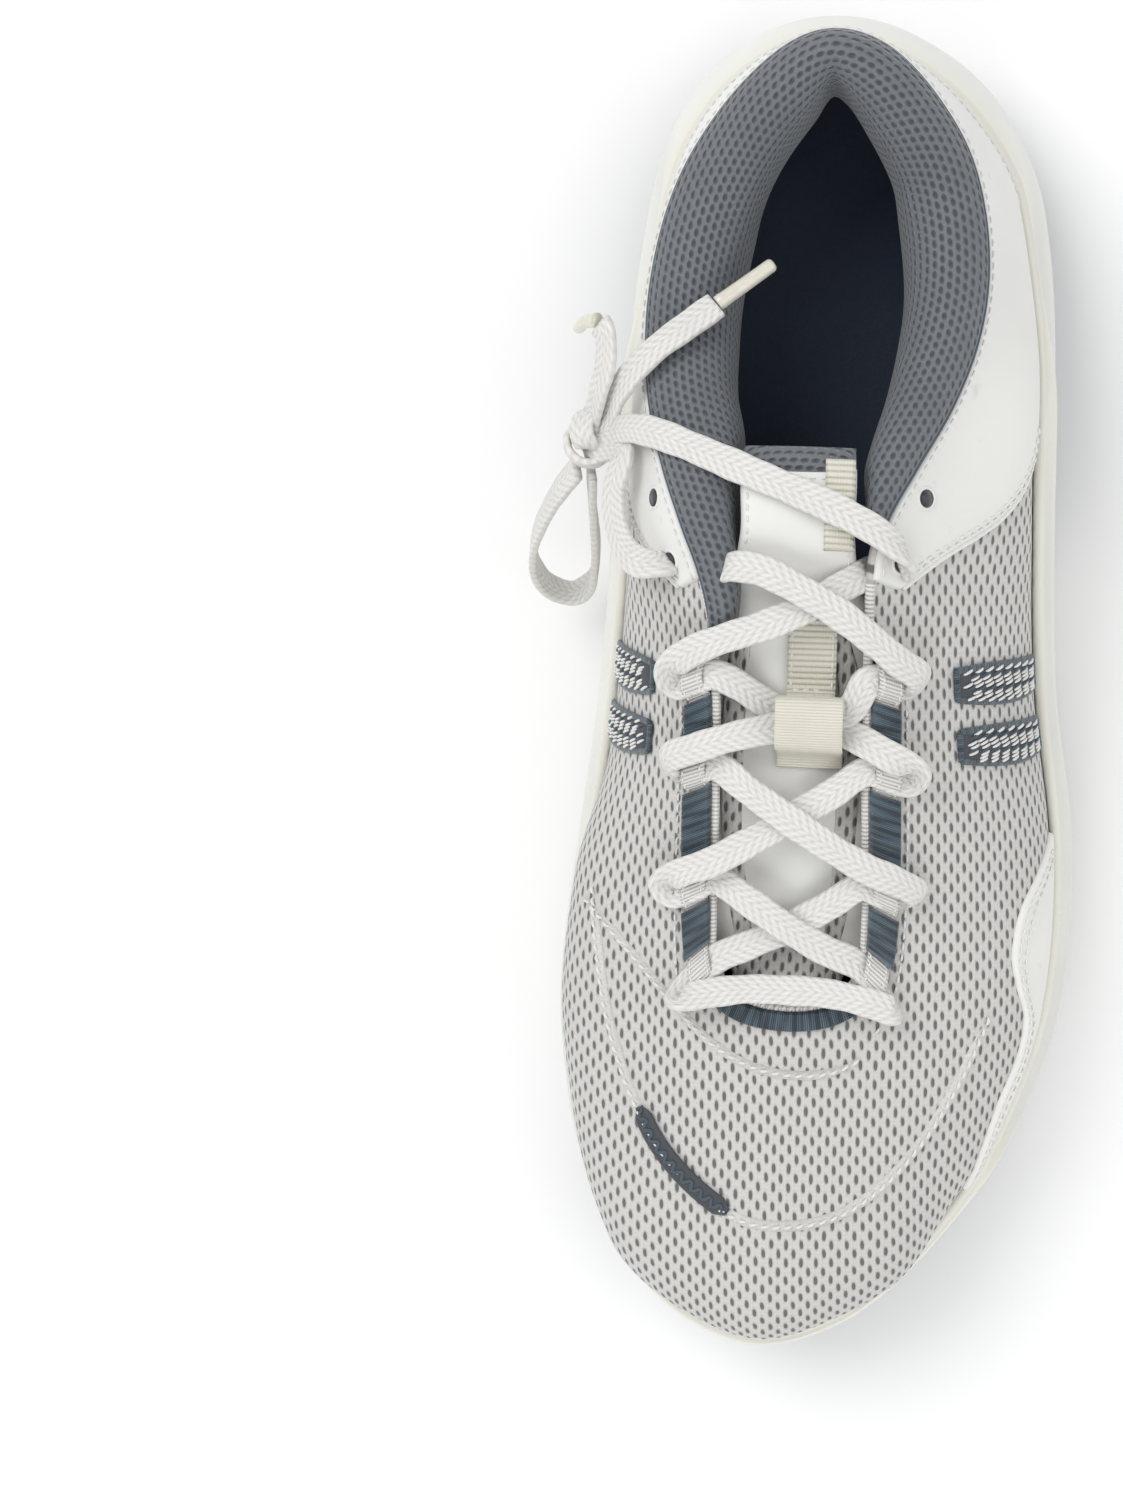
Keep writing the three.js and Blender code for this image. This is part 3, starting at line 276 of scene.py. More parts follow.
def upper_point(key, v):
    """Outer face of the upper: v runs -1 at the foot bed, 0 at the lip and 1 at the cut edge."""
    key, v = np.broadcast_arrays(np.asarray(key, float), np.asarray(v, float))
    foot = inset(key, cup_inset(key) + CLEARANCE)
    low = lip_height(key)
    top = TOPLINE(key)
    out, up, inward, rise = np.moveaxis(PULL(side_key(key)), -1, 0)
    level = unit(top[..., :2] - foot)
    t = np.clip(v, 0, 1)
    a, b, c, d = 2 * t**3 - 3 * t**2 + 1, t**3 - 2 * t**2 + t, 3 * t**2 - 2 * t**3, t**3 - t**2
    plan = (foot * a[..., None] - level * (out * b)[..., None]
            + top[..., :2] * c[..., None] + level * (inward * d)[..., None])
    height = low * a + up * b + top[..., 2] * c + rise * d
    floor = BED.one(foot[..., 1]) + CLEARANCE
    height = np.where(v < 0, lerp(low, floor, -v), height)
    return at(plan[..., 0], plan[..., 1], height)


def upper_normal(key, v):
    step = 0.01
    v = np.asarray(v, float)
    low = np.where(v > 0, np.maximum(v - step, 0), v - step)
    high = np.where(v >= 0, np.minimum(v + step, 1), np.minimum(v + step, 0))
    around = upper_point(key + step, v) - upper_point(key - step, v)
    upward = upper_point(key, high) - upper_point(key, low)
    return -unit(np.cross(around, upward))


def upper_offset(key, v, distance):
    return upper_point(key, v) + upper_normal(key, v) * np.asarray(distance, float)[..., None]


def key_at_throat(from_heel, outer):
    """Key on one side whose cut edge lies at the given distance from the heel."""
    keys = np.linspace(0.44, 1, 1200)
    found = np.interp(from_heel, TOPLINE(keys if outer else 2 - keys)[:, 1], keys)
    return found if outer else 2 - found


def eyestay_point(from_heel, outer, from_edge, rise):
    """Points on the upper beside the throat, the given distances outside the cut edge."""
    from_heel, from_edge, rise = np.broadcast_arrays(from_heel, from_edge, rise)
    keys = key_at_throat(from_heel, outer)
    steps = np.linspace(1, 0.4, 120)
    lines = upper_point(keys[..., None], steps)
    gaps = np.linalg.norm(lines - lines[..., :1, :], axis=-1)
    i = np.clip((gaps < from_edge[..., None]).sum(-1) - 1, 0, len(steps) - 2)[..., None]
    low, high = np.take_along_axis(gaps, i, -1)[..., 0], np.take_along_axis(gaps, i + 1, -1)[..., 0]
    share = (from_edge - low) / np.maximum(high - low, 1e-6)
    v = lerp(steps[i[..., 0]], steps[i[..., 0] + 1], share)
    return upper_offset(keys, v, rise)


def catmull(points, w):
    """Centripetal curve through points (..., n, 3) at one or more places w from 0 to 1."""
    points = np.asarray(points, float)
    count = points.shape[-2]
    results = []
    for place in np.atleast_1d(w):
        along = min(max(place, 0), 1) * (count - 1)
        i = min(int(along), count - 2)
        t = along - i
        p1, p2 = points[..., i, :], points[..., i + 1, :]
        p0 = points[..., i - 1, :] if i > 0 else 2 * p1 - p2
        p3 = points[..., i + 2, :] if i + 2 < count else 2 * p2 - p1
        gaps = [np.maximum(np.linalg.norm(b - a, axis=-1, keepdims=True) ** 0.5, 1e-4)
                for a, b in ((p0, p1), (p1, p2), (p2, p3))]
        m1 = (p1 - p0) / gaps[0] - (p2 - p0) / (gaps[0] + gaps[1]) + (p2 - p1) / gaps[1]
        m2 = (p2 - p1) / gaps[1] - (p3 - p1) / (gaps[1] + gaps[2]) + (p3 - p2) / gaps[2]
        m1, m2 = m1 * gaps[1], m2 * gaps[1]
        results.append(p1 + m1 * t + (3 * (p2 - p1) - 2 * m1 - m2) * t**2
                       + (2 * (p1 - p2) + m1 + m2) * t**3)
    return np.stack(results, axis=-2)


def lining_points(key, w):
    """Visible face of the collar lining: w runs 0 at the outer seam, over the crest, to 1 at the foot."""
    key = np.asarray(key, float)
    top = TOPLINE(key)
    top = at(*np.moveaxis(top, -1, 0))
    step = TOPLINE(key + 0.01) - TOPLINE(key - 0.01)
    along = unit(np.stack([step[..., 0], -step[..., 1], np.zeros_like(key)], -1))
    inward = np.stack([-along[..., 1], along[..., 0], np.zeros_like(key)], -1)
    middle = at(0, LINING_MIDDLE, 0)
    facing = np.sum(inward * (middle - top), axis=-1, keepdims=True)
    inward = np.where(facing < 0, -inward, inward)
    depth, crest = np.moveaxis(PADDING(key), -1, 0)
    ends = np.minimum(smooth(0.452, 0.41, np.where(key > 0.9, 0, key)) * 0.55 + 0.45, 1)
    depth, high = depth * np.where(key < 0.9, ends, 1), COLLAR_CREST * crest

    def point(share, height):
        result = top + inward * np.asarray(share)[..., None]
        result[..., 2] = top[..., 2] + height
        return result

    foot = inset(key, cup_inset(key) + 3 * CLEARANCE + MESH + COUNTER + COLLAR_FOAM + LINING)
    end = at(foot[..., 0], foot[..., 1], BED.one(foot[..., 1]) + BOARD + SOCK + 4 * CLEARANCE)
    belly = point(depth * 0.95, -16)
    line = [point(-0.3 + 0 * depth, 2.1), point(depth * 0.15, 0.8 * high), point(depth * 0.5, high),
            point(depth * 0.85, 0.45 * high), point(depth, -5), belly,
            lerp(belly, end, 0.45), lerp(belly, end, 0.8), end]
    return catmull(np.stack(line, axis=-2), w)


def tongue_height(from_heel, across):
    """Height of the tongue's outer face at shares -1 to 1 across it, and its distance across."""
    outer, inner, under, droop = np.moveaxis(TONGUE(from_heel), -1, 0)
    x = lerp(inner, outer, (np.asarray(across) + 1) / 2)
    return x, THROAT_HEIGHT.one(from_heel) - under - droop * np.asarray(across) ** 2


# ------------------------------------------------------------------------------ mesh making
def make_object(name, points, faces, uv=None, fields=None):
    """A smooth object from points in millimetres and faces given as index arrays."""
    mesh = bpy.data.meshes.new(name)
    groups = [np.asarray(group, np.int32) for group in faces if len(group)]
    corners = np.concatenate([group.ravel() for group in groups])
    sizes = np.concatenate([np.full(len(group), group.shape[1], np.int32) for group in groups])
    mesh.vertices.add(len(points))
    mesh.vertices.foreach_set("co", (np.asarray(points, float) * MM).astype(np.float32).ravel())
    mesh.loops.add(len(corners))
    mesh.loops.foreach_set("vertex_index", corners)
    mesh.polygons.add(len(sizes))
    mesh.polygons.foreach_set("loop_start", np.concatenate([[0], np.cumsum(sizes)[:-1]]).astype(np.int32))
    mesh.polygons.foreach_set("loop_total", sizes)
    if uv is not None:
        layer = mesh.uv_layers.new(name="UVMap")
        layer.data.foreach_set("uv", np.asarray(uv, np.float32)[corners].ravel())
    for field, values in (fields or {}).items():
        mesh.attributes.new(field, "FLOAT", "POINT").data.foreach_set(
            "value", np.ravel(values).astype(np.float32))
    mesh.update(calc_edges=True)
    mesh.validate()
    mesh.polygons.foreach_set("use_smooth", np.ones(len(mesh.polygons), bool))
    made = bpy.data.objects.new(name, mesh)
    bpy.context.scene.collection.objects.link(made)
    return made


def quads(rows, columns, wrap_columns=False):
    """Faces of a grid of points counted row by row."""
    i = np.arange(rows - 1)[:, None]
    j = np.arange(columns if wrap_columns else columns - 1)[None, :]
    here, below = i * columns, (i + 1) * columns
    right = (j + 1) % columns
    return np.stack([here + j, below + j, below + right, here + right], -1).reshape(-1, 4)


def surface(keys, v):
    """The upper's points and normals over a grid of keys and v."""
    return upper_point(keys, v), upper_normal(keys, v)


def run_across(grid):
    """Distance along each row of a grid of points."""
    steps = np.linalg.norm(np.diff(grid, axis=1), axis=-1)
    return np.concatenate([np.zeros((len(grid), 1)), np.cumsum(steps, axis=1)], axis=1)


def shell(name, outer, inner, uv=None):
    """A closed skin between two grids of points."""
    rows, columns = outer.shape[:2]
    count = rows * columns
    face = quads(rows, columns)
    back = face[:, ::-1] + count
    a = np.arange(rows - 1) * columns
    b = a + columns
    j = np.arange(columns - 1)
    rims = [np.stack([b, a, a + count, b + count], -1),
            np.stack([a, b, b + count, a + count], -1) + columns - 1,
            np.stack([j, j + 1, j + 1 + count, j + count], -1),
            np.stack([j + 1, j, j + count, j + 1 + count], -1) + (rows - 1) * columns]
    points = np.concatenate([outer.reshape(-1, 3), inner.reshape(-1, 3)])
    if uv is not None:
        uv = np.concatenate([uv.reshape(-1, 2)] * 2)
    faces = np.concatenate([face, back, *rims])
    centre_out = points[faces[:len(face), 0]] - points[faces[:len(face), 0] + count]
    first = np.cross(points[face[:, 2]] - points[face[:, 0]], points[face[:, 3]] - points[face[:, 1]])
    if np.sum(first * centre_out) < 0:
        faces = faces[:, ::-1]
    return make_object(name, points, [faces], uv)


def loft(name, rings, uv=None, caps=True, fields=None):
    """A closed skin over rings of points; it has its two caps or its fields, not both."""
    rows, columns = rings.shape[:2]
    faces = [quads(rows, columns, wrap_columns=True)]
    points = rings.reshape(-1, 3)
    if caps:
        first, last = rings[0].mean(0), rings[-1].mean(0)
        count = len(points)
        j = np.arange(columns)
        k = (j + 1) % columns
        end = (rows - 1) * columns
        faces.append(np.stack([np.full(columns, count), j, k], -1))
        faces.append(np.stack([np.full(columns, count + 1), end + k, end + j], -1))
        points = np.vstack([points, first, last])
        if uv is not None:
            uv = np.vstack([uv.reshape(-1, 2), uv[0].mean(0), uv[-1].mean(0)])
    volume = sum(np.sum(points[g[:, 0]] * np.cross(points[g[:, i]], points[g[:, i + 1]]))
                 for g in faces for i in range(1, g.shape[1] - 1))
    if volume < 0:
        faces = [g[:, ::-1] for g in faces]
    return make_object(name, points, faces, None if uv is None else uv.reshape(-1, 2), fields)


def along_path(points):
    """Distance along a path at each of its points."""
    return np.concatenate([[0], np.cumsum(np.linalg.norm(np.diff(points, axis=0), axis=1))])


def resample(points, step, *others):
    """The path at even steps, and the other values that go with its points."""
    run = along_path(points)
    count = max(int(round(run[-1] / step)), 2)
    places = np.linspace(0, run[-1], count + 1)
    pick = [np.stack([np.interp(places, run, values[:, i]) for i in range(values.shape[1])], -1)
            for values in (points, *others)]
    return pick if others else pick[0]


def frames(points, facing):
    """Tangents, normals and sideways directions of a path whose normals face the given way."""
    tangent = unit(np.gradient(points, axis=0))
    normal = unit(facing - tangent * np.sum(facing * tangent, axis=1, keepdims=True))
    return tangent, normal, np.cross(normal, tangent)


def sweep(name, points, facing, section, scale=None):
    """A bar of the given section (sideways, up) along a path; scale may thin it at each point."""
    _, normal, side = frames(points, facing)
    scale = np.ones(len(points)) if scale is None else scale
    rings = (points[:, None] + side[:, None] * (section[None, :, :1] * scale[:, None, None])
             + normal[:, None] * (section[None, :, 1:] * scale[:, None, None]))
    return loft(name, rings, flat_uv(section[None, :, 0], along_path(points)[:, None]))


def flat_section(width, thickness, roundness=0.35, count=20):
    """Section of a flat strap with rounded edges."""
    angle = np.linspace(0, 2 * np.pi, count, endpoint=False)
    c, s = np.cos(angle), np.sin(angle)
    return np.stack([np.sign(c) * np.abs(c) ** roundness * width / 2,
                     np.sign(s) * np.abs(s) ** 0.8 * thickness / 2], -1)


def round_section(width, height, count=10):
    angle = np.linspace(0, 2 * np.pi, count, endpoint=False)
    return np.stack([np.cos(angle) * width / 2, np.sin(angle) * height / 2], -1)


def stitches(name, points, facing, pitch, length, thick, lift, slant=0.0):
    """A row of separate stitches along a path, each a small thread that dips at both ends."""
    _, normal, side = frames(points, facing)
    run = along_path(points)
    starts = np.arange(pitch / 2, run[-1] - pitch / 2, pitch)
    steps = np.linspace(-1, 1, 7)
    ring = np.linspace(0, 2 * np.pi, 6, endpoint=False)

    def pick(values, places):
        return np.stack([np.interp(places, run, values[:, i]) for i in range(3)], -1)

    places = starts[:, None] + steps[None] * length / 2
    body = pick(points, places)
    up, across = unit(pick(normal, places)), unit(pick(side, places))
    body = body + up * (lift - 0.7 * thick * steps**4)[None, :, None] + across * (slant * steps)[None, :, None]
    radius = thick / 2 * np.sqrt(np.maximum(1 - steps**2 * 0.8, 0.05))
    rings = (body[:, :, None] + across[:, :, None] * (radius[:, None] * np.cos(ring))[None, :, :, None]
             + up[:, :, None] * (radius[:, None] * np.sin(ring))[None, :, :, None])
    count, rows, columns = rings.shape[:3]
    one = quads(rows, columns, wrap_columns=True)
    cap = np.arange(columns)[None]
    shift = np.arange(count)[:, None, None] * rows * columns
    faces = [(one[None] + shift).reshape(-1, 4), (cap[:, ::-1][None] + shift).reshape(-1, columns),
             (cap[None] + (rows - 1) * columns + shift).reshape(-1, columns)]
    points = rings.reshape(-1, 3)
    first = faces[0][0]
    outward = np.cross(points[first[2]] - points[first[0]], points[first[3]] - points[first[1]])
    if np.dot(outward, points[first[0]] - body[0, 0]) < 0:
        faces = [face[:, ::-1] for face in faces]
    return make_object(name, points, faces)


# ------------------------------------------------------------------------------ lace routes
# across, from heel, height: the same routes as the solids follow
LACED_ROUTE = [
    (-29.3, 127.5, 79.7), (-28.5, 127.3, 78.8), (-26.6, 126.8, 77), (-23, 127.4, 77.6),
    (-19.6, 128.6, 80.6), (-18.2, 129, 84.8), (-15.4, 128.6, 88.4), (-10, 129.4, 90.6),
    (-3, 132.6, 90.4), (6, 137.6, 88.2), (13, 142.6, 85.4), (18, 146.4, 82.4), (22.4, 149.4, 78),
    (20.6, 152, 75), (16, 150.9, 77.9), (12.2, 150.4, 80.4), (8.6, 156.4, 78.2), (0.5, 159.2, 77.2),
    (-7, 160.8, 77.6), (-15, 162.8, 78.6), (-23, 165.6, 77.6), (-28.6, 168, 73.2), (-27.2, 171, 69.8),
    (-22.8, 169.8, 72.3), (-18.6, 168.8, 74.6), (-12, 173.4, 75.4), (-3, 179.4, 75), (7, 185.6, 73.2),
    (14.2, 189.4, 71.2), (19.4, 191.4, 68.8), (24, 194.2, 64.6), (22.2, 196, 62.6),
    (17.1, 194.3, 65.3), (12.4, 192.8, 66.7), (6, 197, 65), (-3, 202.6, 62.6), (-11, 206.6, 61.8),
    (-17.4, 209.6, 61.5), (-21, 213, 60.5), (-24.6, 217, 59.2), (-25.4, 218.8, 61.4),
    (-20.6, 217.4, 63.2), (-11, 215.8, 62.8), (-3, 215.6, 62.6), (6, 215.8, 62.8), (15.2, 217.4, 63.2),
    (20, 218.8, 61.4), (19.2, 217, 59.2), (15.5, 213, 60.5), (12, 209.6, 61.6), (5, 206.6, 64),
    (-3, 202.2, 66), (-11, 197, 67.2), (-18.4, 192.8, 66.9), (-22.5, 194.4, 65.3), (-27.6, 196.4, 62.6),
    (-29.4, 194.2, 64.6), (-24.8, 191.4, 69), (-19.2, 189.2, 71), (-12, 185, 71.6), (-3, 179.4, 72.1),
    (6, 173.4, 73.4), (12.4, 168.8, 74.6), (16.4, 169.5, 72.4), (21.4, 170.8, 69.8), (22.8, 168.4, 73),
    (17, 165.6, 77.6), (10, 162, 77.2), (0.5, 158.6, 74.8), (-8, 156, 75.8), (-14, 152.4, 78.8),
    (-19.2, 150.2, 80.5), (-23.1, 151.2, 77.8), (-27.6, 152.6, 74.4), (-29, 149.8, 77.6),
    (-24.2, 146, 82.6), (-17, 143, 85.6), (-9, 140.2, 86.4), (-1, 136.4, 86.2), (6, 132, 85.6),
    (9.8, 129.6, 83.2), (11.2, 128.4, 80.2), (13.4, 127, 78), (15.4, 126.8, 78.9), (17, 127.1, 80.9),
    (17.6, 127.2, 81.6),
]
OUTER_END_ROUTE = [
    (18, 127.3, 82.1), (19, 127, 84), (18, 124.8, 87.4), (13.4, 121.4, 90.4), (6, 117.6, 91.6),
    (-3, 113.8, 92), (-12, 110.2, 90.9), (-20, 106.8, 88.2), (-27, 103.8, 85.4), (-33, 101.4, 81.8),
    (-37.6, 100, 77.2), (-41, 99.4, 72.4), (-43.2, 99.4, 68.6),
]
INNER_END_ROUTE = [
    (-29.7, 127.6, 80.1), (-31.6, 128.2, 81.8), (-35.6, 127.8, 80), (-39.4, 124.4, 76.4),
    (-41.8, 118.4, 73.6), (-42.4, 112.4, 72.8), (-41.4, 108.2, 74), (-40.6, 105.2, 73.6),
    (-41.4, 103.4, 71.2), (-43.3, 102.7, 68.4),
]
KNOT_PLACE = (-48.5, 100.5, 63)
BOW_ROUTE = [
    (-52, 106.4, 59.3), (-56.6, 110.6, 52.4), (-61, 115.6, 43.4), (-64.4, 120.8, 33.4),
    (-65.4, 125.4, 23.6), (-62.8, 129.2, 16), (-57.8, 130.4, 13), (-53.2, 128, 17.4),
    (-51, 122.6, 28), (-50.2, 116.6, 40), (-49.6, 111.4, 51), (-48.9, 107.1, 58.9),
]
TAIL_OVER_ROUTE = [
    (-44.6, 95.7, 67.7), (-42.4, 92, 72.4), (-38.8, 88, 77), (-34, 83.6, 79.4),
    (-28.2, 79, 79), (-22.2, 74.2, 77.8),
]
AGLET_OVER_ROUTE = [(-21.9, 73.9, 77.7), (-16.4, 69.6, 77), (-10.8, 65.2, 76.4)]
TAIL_OUT_ROUTE = [
    (-47.7, 94.3, 67.7), (-46.6, 91, 71.2), (-45.2, 87.4, 74), (-44.8, 83.4, 75.8),
    (-45.2, 80, 76.6), (-46.2, 78.4, 76.3),
]
AGLET_OUT_ROUTE = [(-47, 77.4, 75.5), (-49.8, 77.2, 72.4), (-51.8, 77.6, 67.4)]


def route_points(rows):
    return catmull(at(*np.array(rows, float).T), np.linspace(0, 1, 9 * len(rows)))


def lace_facing(points, core):
    """Which way a flat lace's face points: it turns with the route, and settles away from the core."""
    tangent = unit(np.gradient(points, axis=0))
    away = points - core
    target = away - tangent * np.sum(away * tangent, axis=1, keepdims=True)
    strength = np.clip(np.linalg.norm(target, axis=1) / np.maximum(np.linalg.norm(away, axis=1), 1e-6), 0, 1)
    target = unit(target)
    facing = np.empty_like(points)
    normal = target[0]
    for i in range(len(points)):
        normal = unit(normal - tangent[i] * np.dot(normal, tangent[i]))
        goal = target[i] if np.dot(target[i], normal) >= 0 else -target[i]
        normal = unit(normal + (goal - normal) * 0.22 * strength[i] ** 4)
        facing[i] = normal
    kernel = np.ones(5) / 5
    padded = np.vstack([facing[:1]] * 2 + [facing] + [facing[-1:]] * 2)
    return unit(np.stack([np.convolve(padded[:, c], kernel, "valid") for c in range(3)], -1))


# ------------------------------------------------------------------------------ materials
class Value:
    """One socket of a shader, so that shader maths is written as plain expressions."""

    def __init__(self, shader, socket):
        self.shader, self.socket = shader, socket

    def do(self, operation, *others):
        return self.shader.node("ShaderNodeMath", {"operation": operation},
                                dict(enumerate([self, *others])))[0]

    def __rsub__(self, other):
        return self.shader.node("ShaderNodeMath", {"operation": "SUBTRACT"}, {0: other, 1: self})[0]

    def between(self, low, high):
        """0 below low, 1 above high, smooth between them."""
        return self.shader.node("ShaderNodeMapRange", {"interpolation_type": "SMOOTHSTEP"},
                                {"Value": self, "From Min": low, "From Max": high})[0]


def math_method(operation):
    return lambda self, *others: self.do(operation, *others)


for method, operation in (("__add__", "ADD"), ("__radd__", "ADD"), ("__sub__", "SUBTRACT"),
                          ("__mul__", "MULTIPLY"), ("__rmul__", "MULTIPLY"), ("__truediv__", "DIVIDE"),
                          ("__pow__", "POWER"), ("fract", "FRACT"), ("floor", "FLOOR"), ("abs", "ABSOLUTE"),
                          ("sine", "SINE"), ("root", "SQRT")):
    setattr(Value, method, math_method(operation))


class Shader:
    """A material's node tree, with one method that makes any node."""

    def __init__(self, name, roughness=0.6, **constants):
        self.material = bpy.data.materials.new(name)
        self.material.use_nodes = True
        self.tree = self.material.node_tree
        self.surface = self.tree.nodes["Principled BSDF"]
        self.surface.inputs["Roughness"].default_value = roughness
        for socket, value in constants.items():
            self.surface.inputs[socket.replace("_", " ")].default_value = value

    def node(self, kind, settings=None, values=None):
        """Makes a node: its settings first, then its sockets; returns its visible outputs."""
        made = self.tree.nodes.new(kind)
        for setting, value in (settings or {}).items():
            setattr(made, setting, value)
        for socket, value in (values or {}).items():
            if isinstance(value, Value):
                self.tree.links.new(value.socket, made.inputs[socket])
            else:
                made.inputs[socket].default_value = value
        return [Value(self, socket) for socket in made.outputs if socket.enabled]

    def uv(self):
        """The piece's own coordinates in metres: across and along."""
        place = self.node("ShaderNodeUVMap", {"uv_map": "UVMap"})[0]
        across, along, _ = self.node("ShaderNodeSeparateXYZ", values={0: place})
        return across, along

    def place(self):
        return self.node("ShaderNodeTexCoord")[3]

    def noise(self, scale, detail=2.0, vector=None, distortion=0.0):
        """A noise value; the scale is in features per metre."""
        return self.node("ShaderNodeTexNoise", {"noise_dimensions": "3D"}, {
            "Vector": vector or self.place(), "Scale": scale, "Detail": detail,
            "Roughness": 0.5, "Distortion": distortion})[0]

    def cells(self, scale):
        return self.node("ShaderNodeTexVoronoi", {"feature": "F1"}, {"Vector": self.place(), "Scale": scale})[0]

    def field(self, name):
        return self.node("ShaderNodeAttribute", {"attribute_name": name})[2]

    def mix(self, factor, first, second):
        """A colour between two colours."""
        first, second = (c if isinstance(c, Value) else (*c, 1) for c in (first, second))
        return self.node("ShaderNodeMix", {"data_type": "RGBA"}, {0: factor, 6: first, 7: second})[0]

    def patchy(self, factor, low, high, share, base, other):
        """The base with another colour in the places where the factor is high."""
        return self.mix(factor.between(low, high) * share, base, other)

    def finish(self, base, height=None, distance=0.0, strength=1.0, rough=None):
        """Links the base colour, a bump of the given height and, where it varies, the roughness."""
        links = {"Base Color": base, "Roughness": rough}
        if height:
            links["Normal"] = self.node("ShaderNodeBump", None, {
                "Height": height, "Distance": distance, "Strength": strength})[0]
        for socket, value in links.items():
            if value:
                self.tree.links.new(value.socket, self.surface.inputs[socket])
        return self.material


def shade(color, factor):
    return tuple(min(c * factor, 1) for c in color)


def knit_material(settings):
    """Perforated knit: staggered slits with a raised thread round each, over a fine rib; the slits carry
    painted shade and the loops and ribs painted shading.
    """
    color = settings.mesh_color
    shader = Shader("perforated_knit", 0.85, Sheen_Weight=0.15, Sheen_Roughness=0.5)
    across, along = shader.uv()
    wander = shader.noise(260, 1.0) - 0.5
    column = across / (settings.hole_pitch / 2) + wander * 0.22
    odd = (column.floor() * 0.5).fract() * 2
    cell_x = column.fract() - 0.5
    cell_y = (along / (settings.hole_pitch * 1.32) + odd * 0.5 + wander * 0.18).fract() - 0.5
    away = ((cell_x * 2.5 + cell_y * 0.45) ** 2 + (cell_y * 2.3) ** 2).root()
    solid, pad = away.between(0.38, 0.74), away.between(0.6, 1.05)
    rib = (across * (2 * math.pi / 0.0008)).sine() * 0.5 + 0.5
    loops = (along * (2 * math.pi / 0.0011) + rib * 1.5).sine() * 0.5 + 0.5
    # painted shading: the loops and ribs are lighter where they stand up and darker between them
    base = shader.mix(loops * 0.35 + rib * 0.25, shade(color, 0.90), shade(color, 1.06))
    base = shader.patchy(shader.noise(28, 3.0), 0.4, 0.75, 0.25, base, shade(color, 0.86))
    # painted shade: the slits are coloured near black for the shaded hollow seen through each hole
    base = shader.mix(solid, shade(color, 0.22), shader.mix(pad, shade(color, 0.93), base))
    return shader.finish(base, solid * 0.75 + pad * 0.3 + loops * 0.08 + rib * 0.06, 0.00055, 0.85)


def airmesh_material(settings):
    """Padded spacer mesh: rows of small eyes in a rounded net, with painted shade in the eyes and painted
    highlights on raised fibres.
    """
    color, pitch = settings.lining_color, settings.airmesh_pitch
    shader = Shader("collar_airmesh", 0.8, Sheen_Weight=0.3, Sheen_Roughness=0.45)
    across, along = shader.uv()
    row = along / (pitch * 0.72)
    odd = (row.floor() * 0.5).fract() * 2
    cell_x = (across / pitch + odd * 0.5).fract() - 0.5
    cell_y = row.fract() - 0.5
    net = ((cell_x * 1.6 + cell_y * 0.5) ** 2 + (cell_y * 2.1) ** 2).root().between(0.15, 0.8)
    fibre = shader.noise(2600)
    # fibre grain and painted highlight: the fibres that stand up in the relief are made lighter
    light = shader.mix(fibre, shade(color, 0.85), shade(color, 1.35))
    light = shader.patchy(shader.noise(60), 0.35, 0.7, 0.3, light, shade(color, 0.8))
    # painted shade: the eyes of the net are darkened where shade falls in them
    return shader.finish(shader.mix(net, shade(color, 0.42), light), net + fibre * 0.12, 0.0007, 0.9)


def film_material(settings):
    """Smooth coated synthetic: faint grain, soft creases and a little dirt."""
    color = settings.overlay_color
    shader = Shader("coated_film", 0.42, Specular_IOR_Level=0.45, Coat_Weight=0.06, Coat_Roughness=0.35)
    tone = shader.noise(22, 3.0)
    creases = shader.noise(75, 3.0, distortion=0.6)
    marks = shader.noise(140, 4.0).between(0.66, 0.74)
    base = shader.mix(tone.between(0.3, 0.7), shade(color, 0.95), shade(color, 1.02))
    base = shader.mix(marks * 0.35, base, shade(color, 0.72))
    return shader.finish(base, shader.cells(1500) * 0.12 + creases * 1.2, 0.0003, 0.5,
                         0.36 + tone * 0.16 + marks * 0.1)


def foam_material(settings):
    """Moulded foam: silky skin with a fine orange peel, yellowed lip and painted shade in its hollows."""
    color = settings.foam_color
    shader = Shader("moulded_foam", 0.36, Specular_IOR_Level=0.5, Coat_Weight=0.08, Coat_Roughness=0.25)
    lip, hollow_shade, stipple = (shader.field(name) for name in ("lip", "hollow_shade", "stipple"))
    tone = shader.noise(30, 3.0)
    streak = shader.noise(55, 4.0, distortion=0.4).between(0.52, 0.75)
    base = shader.mix(tone.between(0.3, 0.7), shade(color, 0.96), shade(color, 1.03))
    # painted shade: the grooves and the sunken leaf panel are darkened where shade would fall
    base = shader.mix(hollow_shade * 0.45, base, shade(color, 0.80))
    base = shader.mix(lip * 0.6, base, (color[0] * 0.99, color[1] * 0.965, color[2] * 0.86))
    base = shader.mix(streak * 0.18, base, shade(color, 0.86))
    height = shader.noise(1600) * 0.10 + shader.noise(900, 3.0) * stipple * 2.2 + tone * 0.6
    return shader.finish(base, height, 0.0003, 0.6, 0.30 + tone * 0.16 + stipple * 0.22 - streak * 0.08)


def rubber_material(settings):
    """Outsole rubber: matt with a fine blasted grain and pale dust."""
    color = settings.rubber_color
    shader = Shader("outsole_rubber", 0.62, Specular_IOR_Level=0.35)
    tone = shader.noise(45, 4.0)
    base = shader.mix(tone.between(0.3, 0.7), shade(color, 0.9), shade(color, 1.18))
    base = shader.patchy(shader.cells(900), 0.12, 0.05, 0.25, base, shade(color, 2.2))
    return shader.finish(base, shader.noise(2400), 0.00015, 0.6, 0.55 + tone * 0.2)


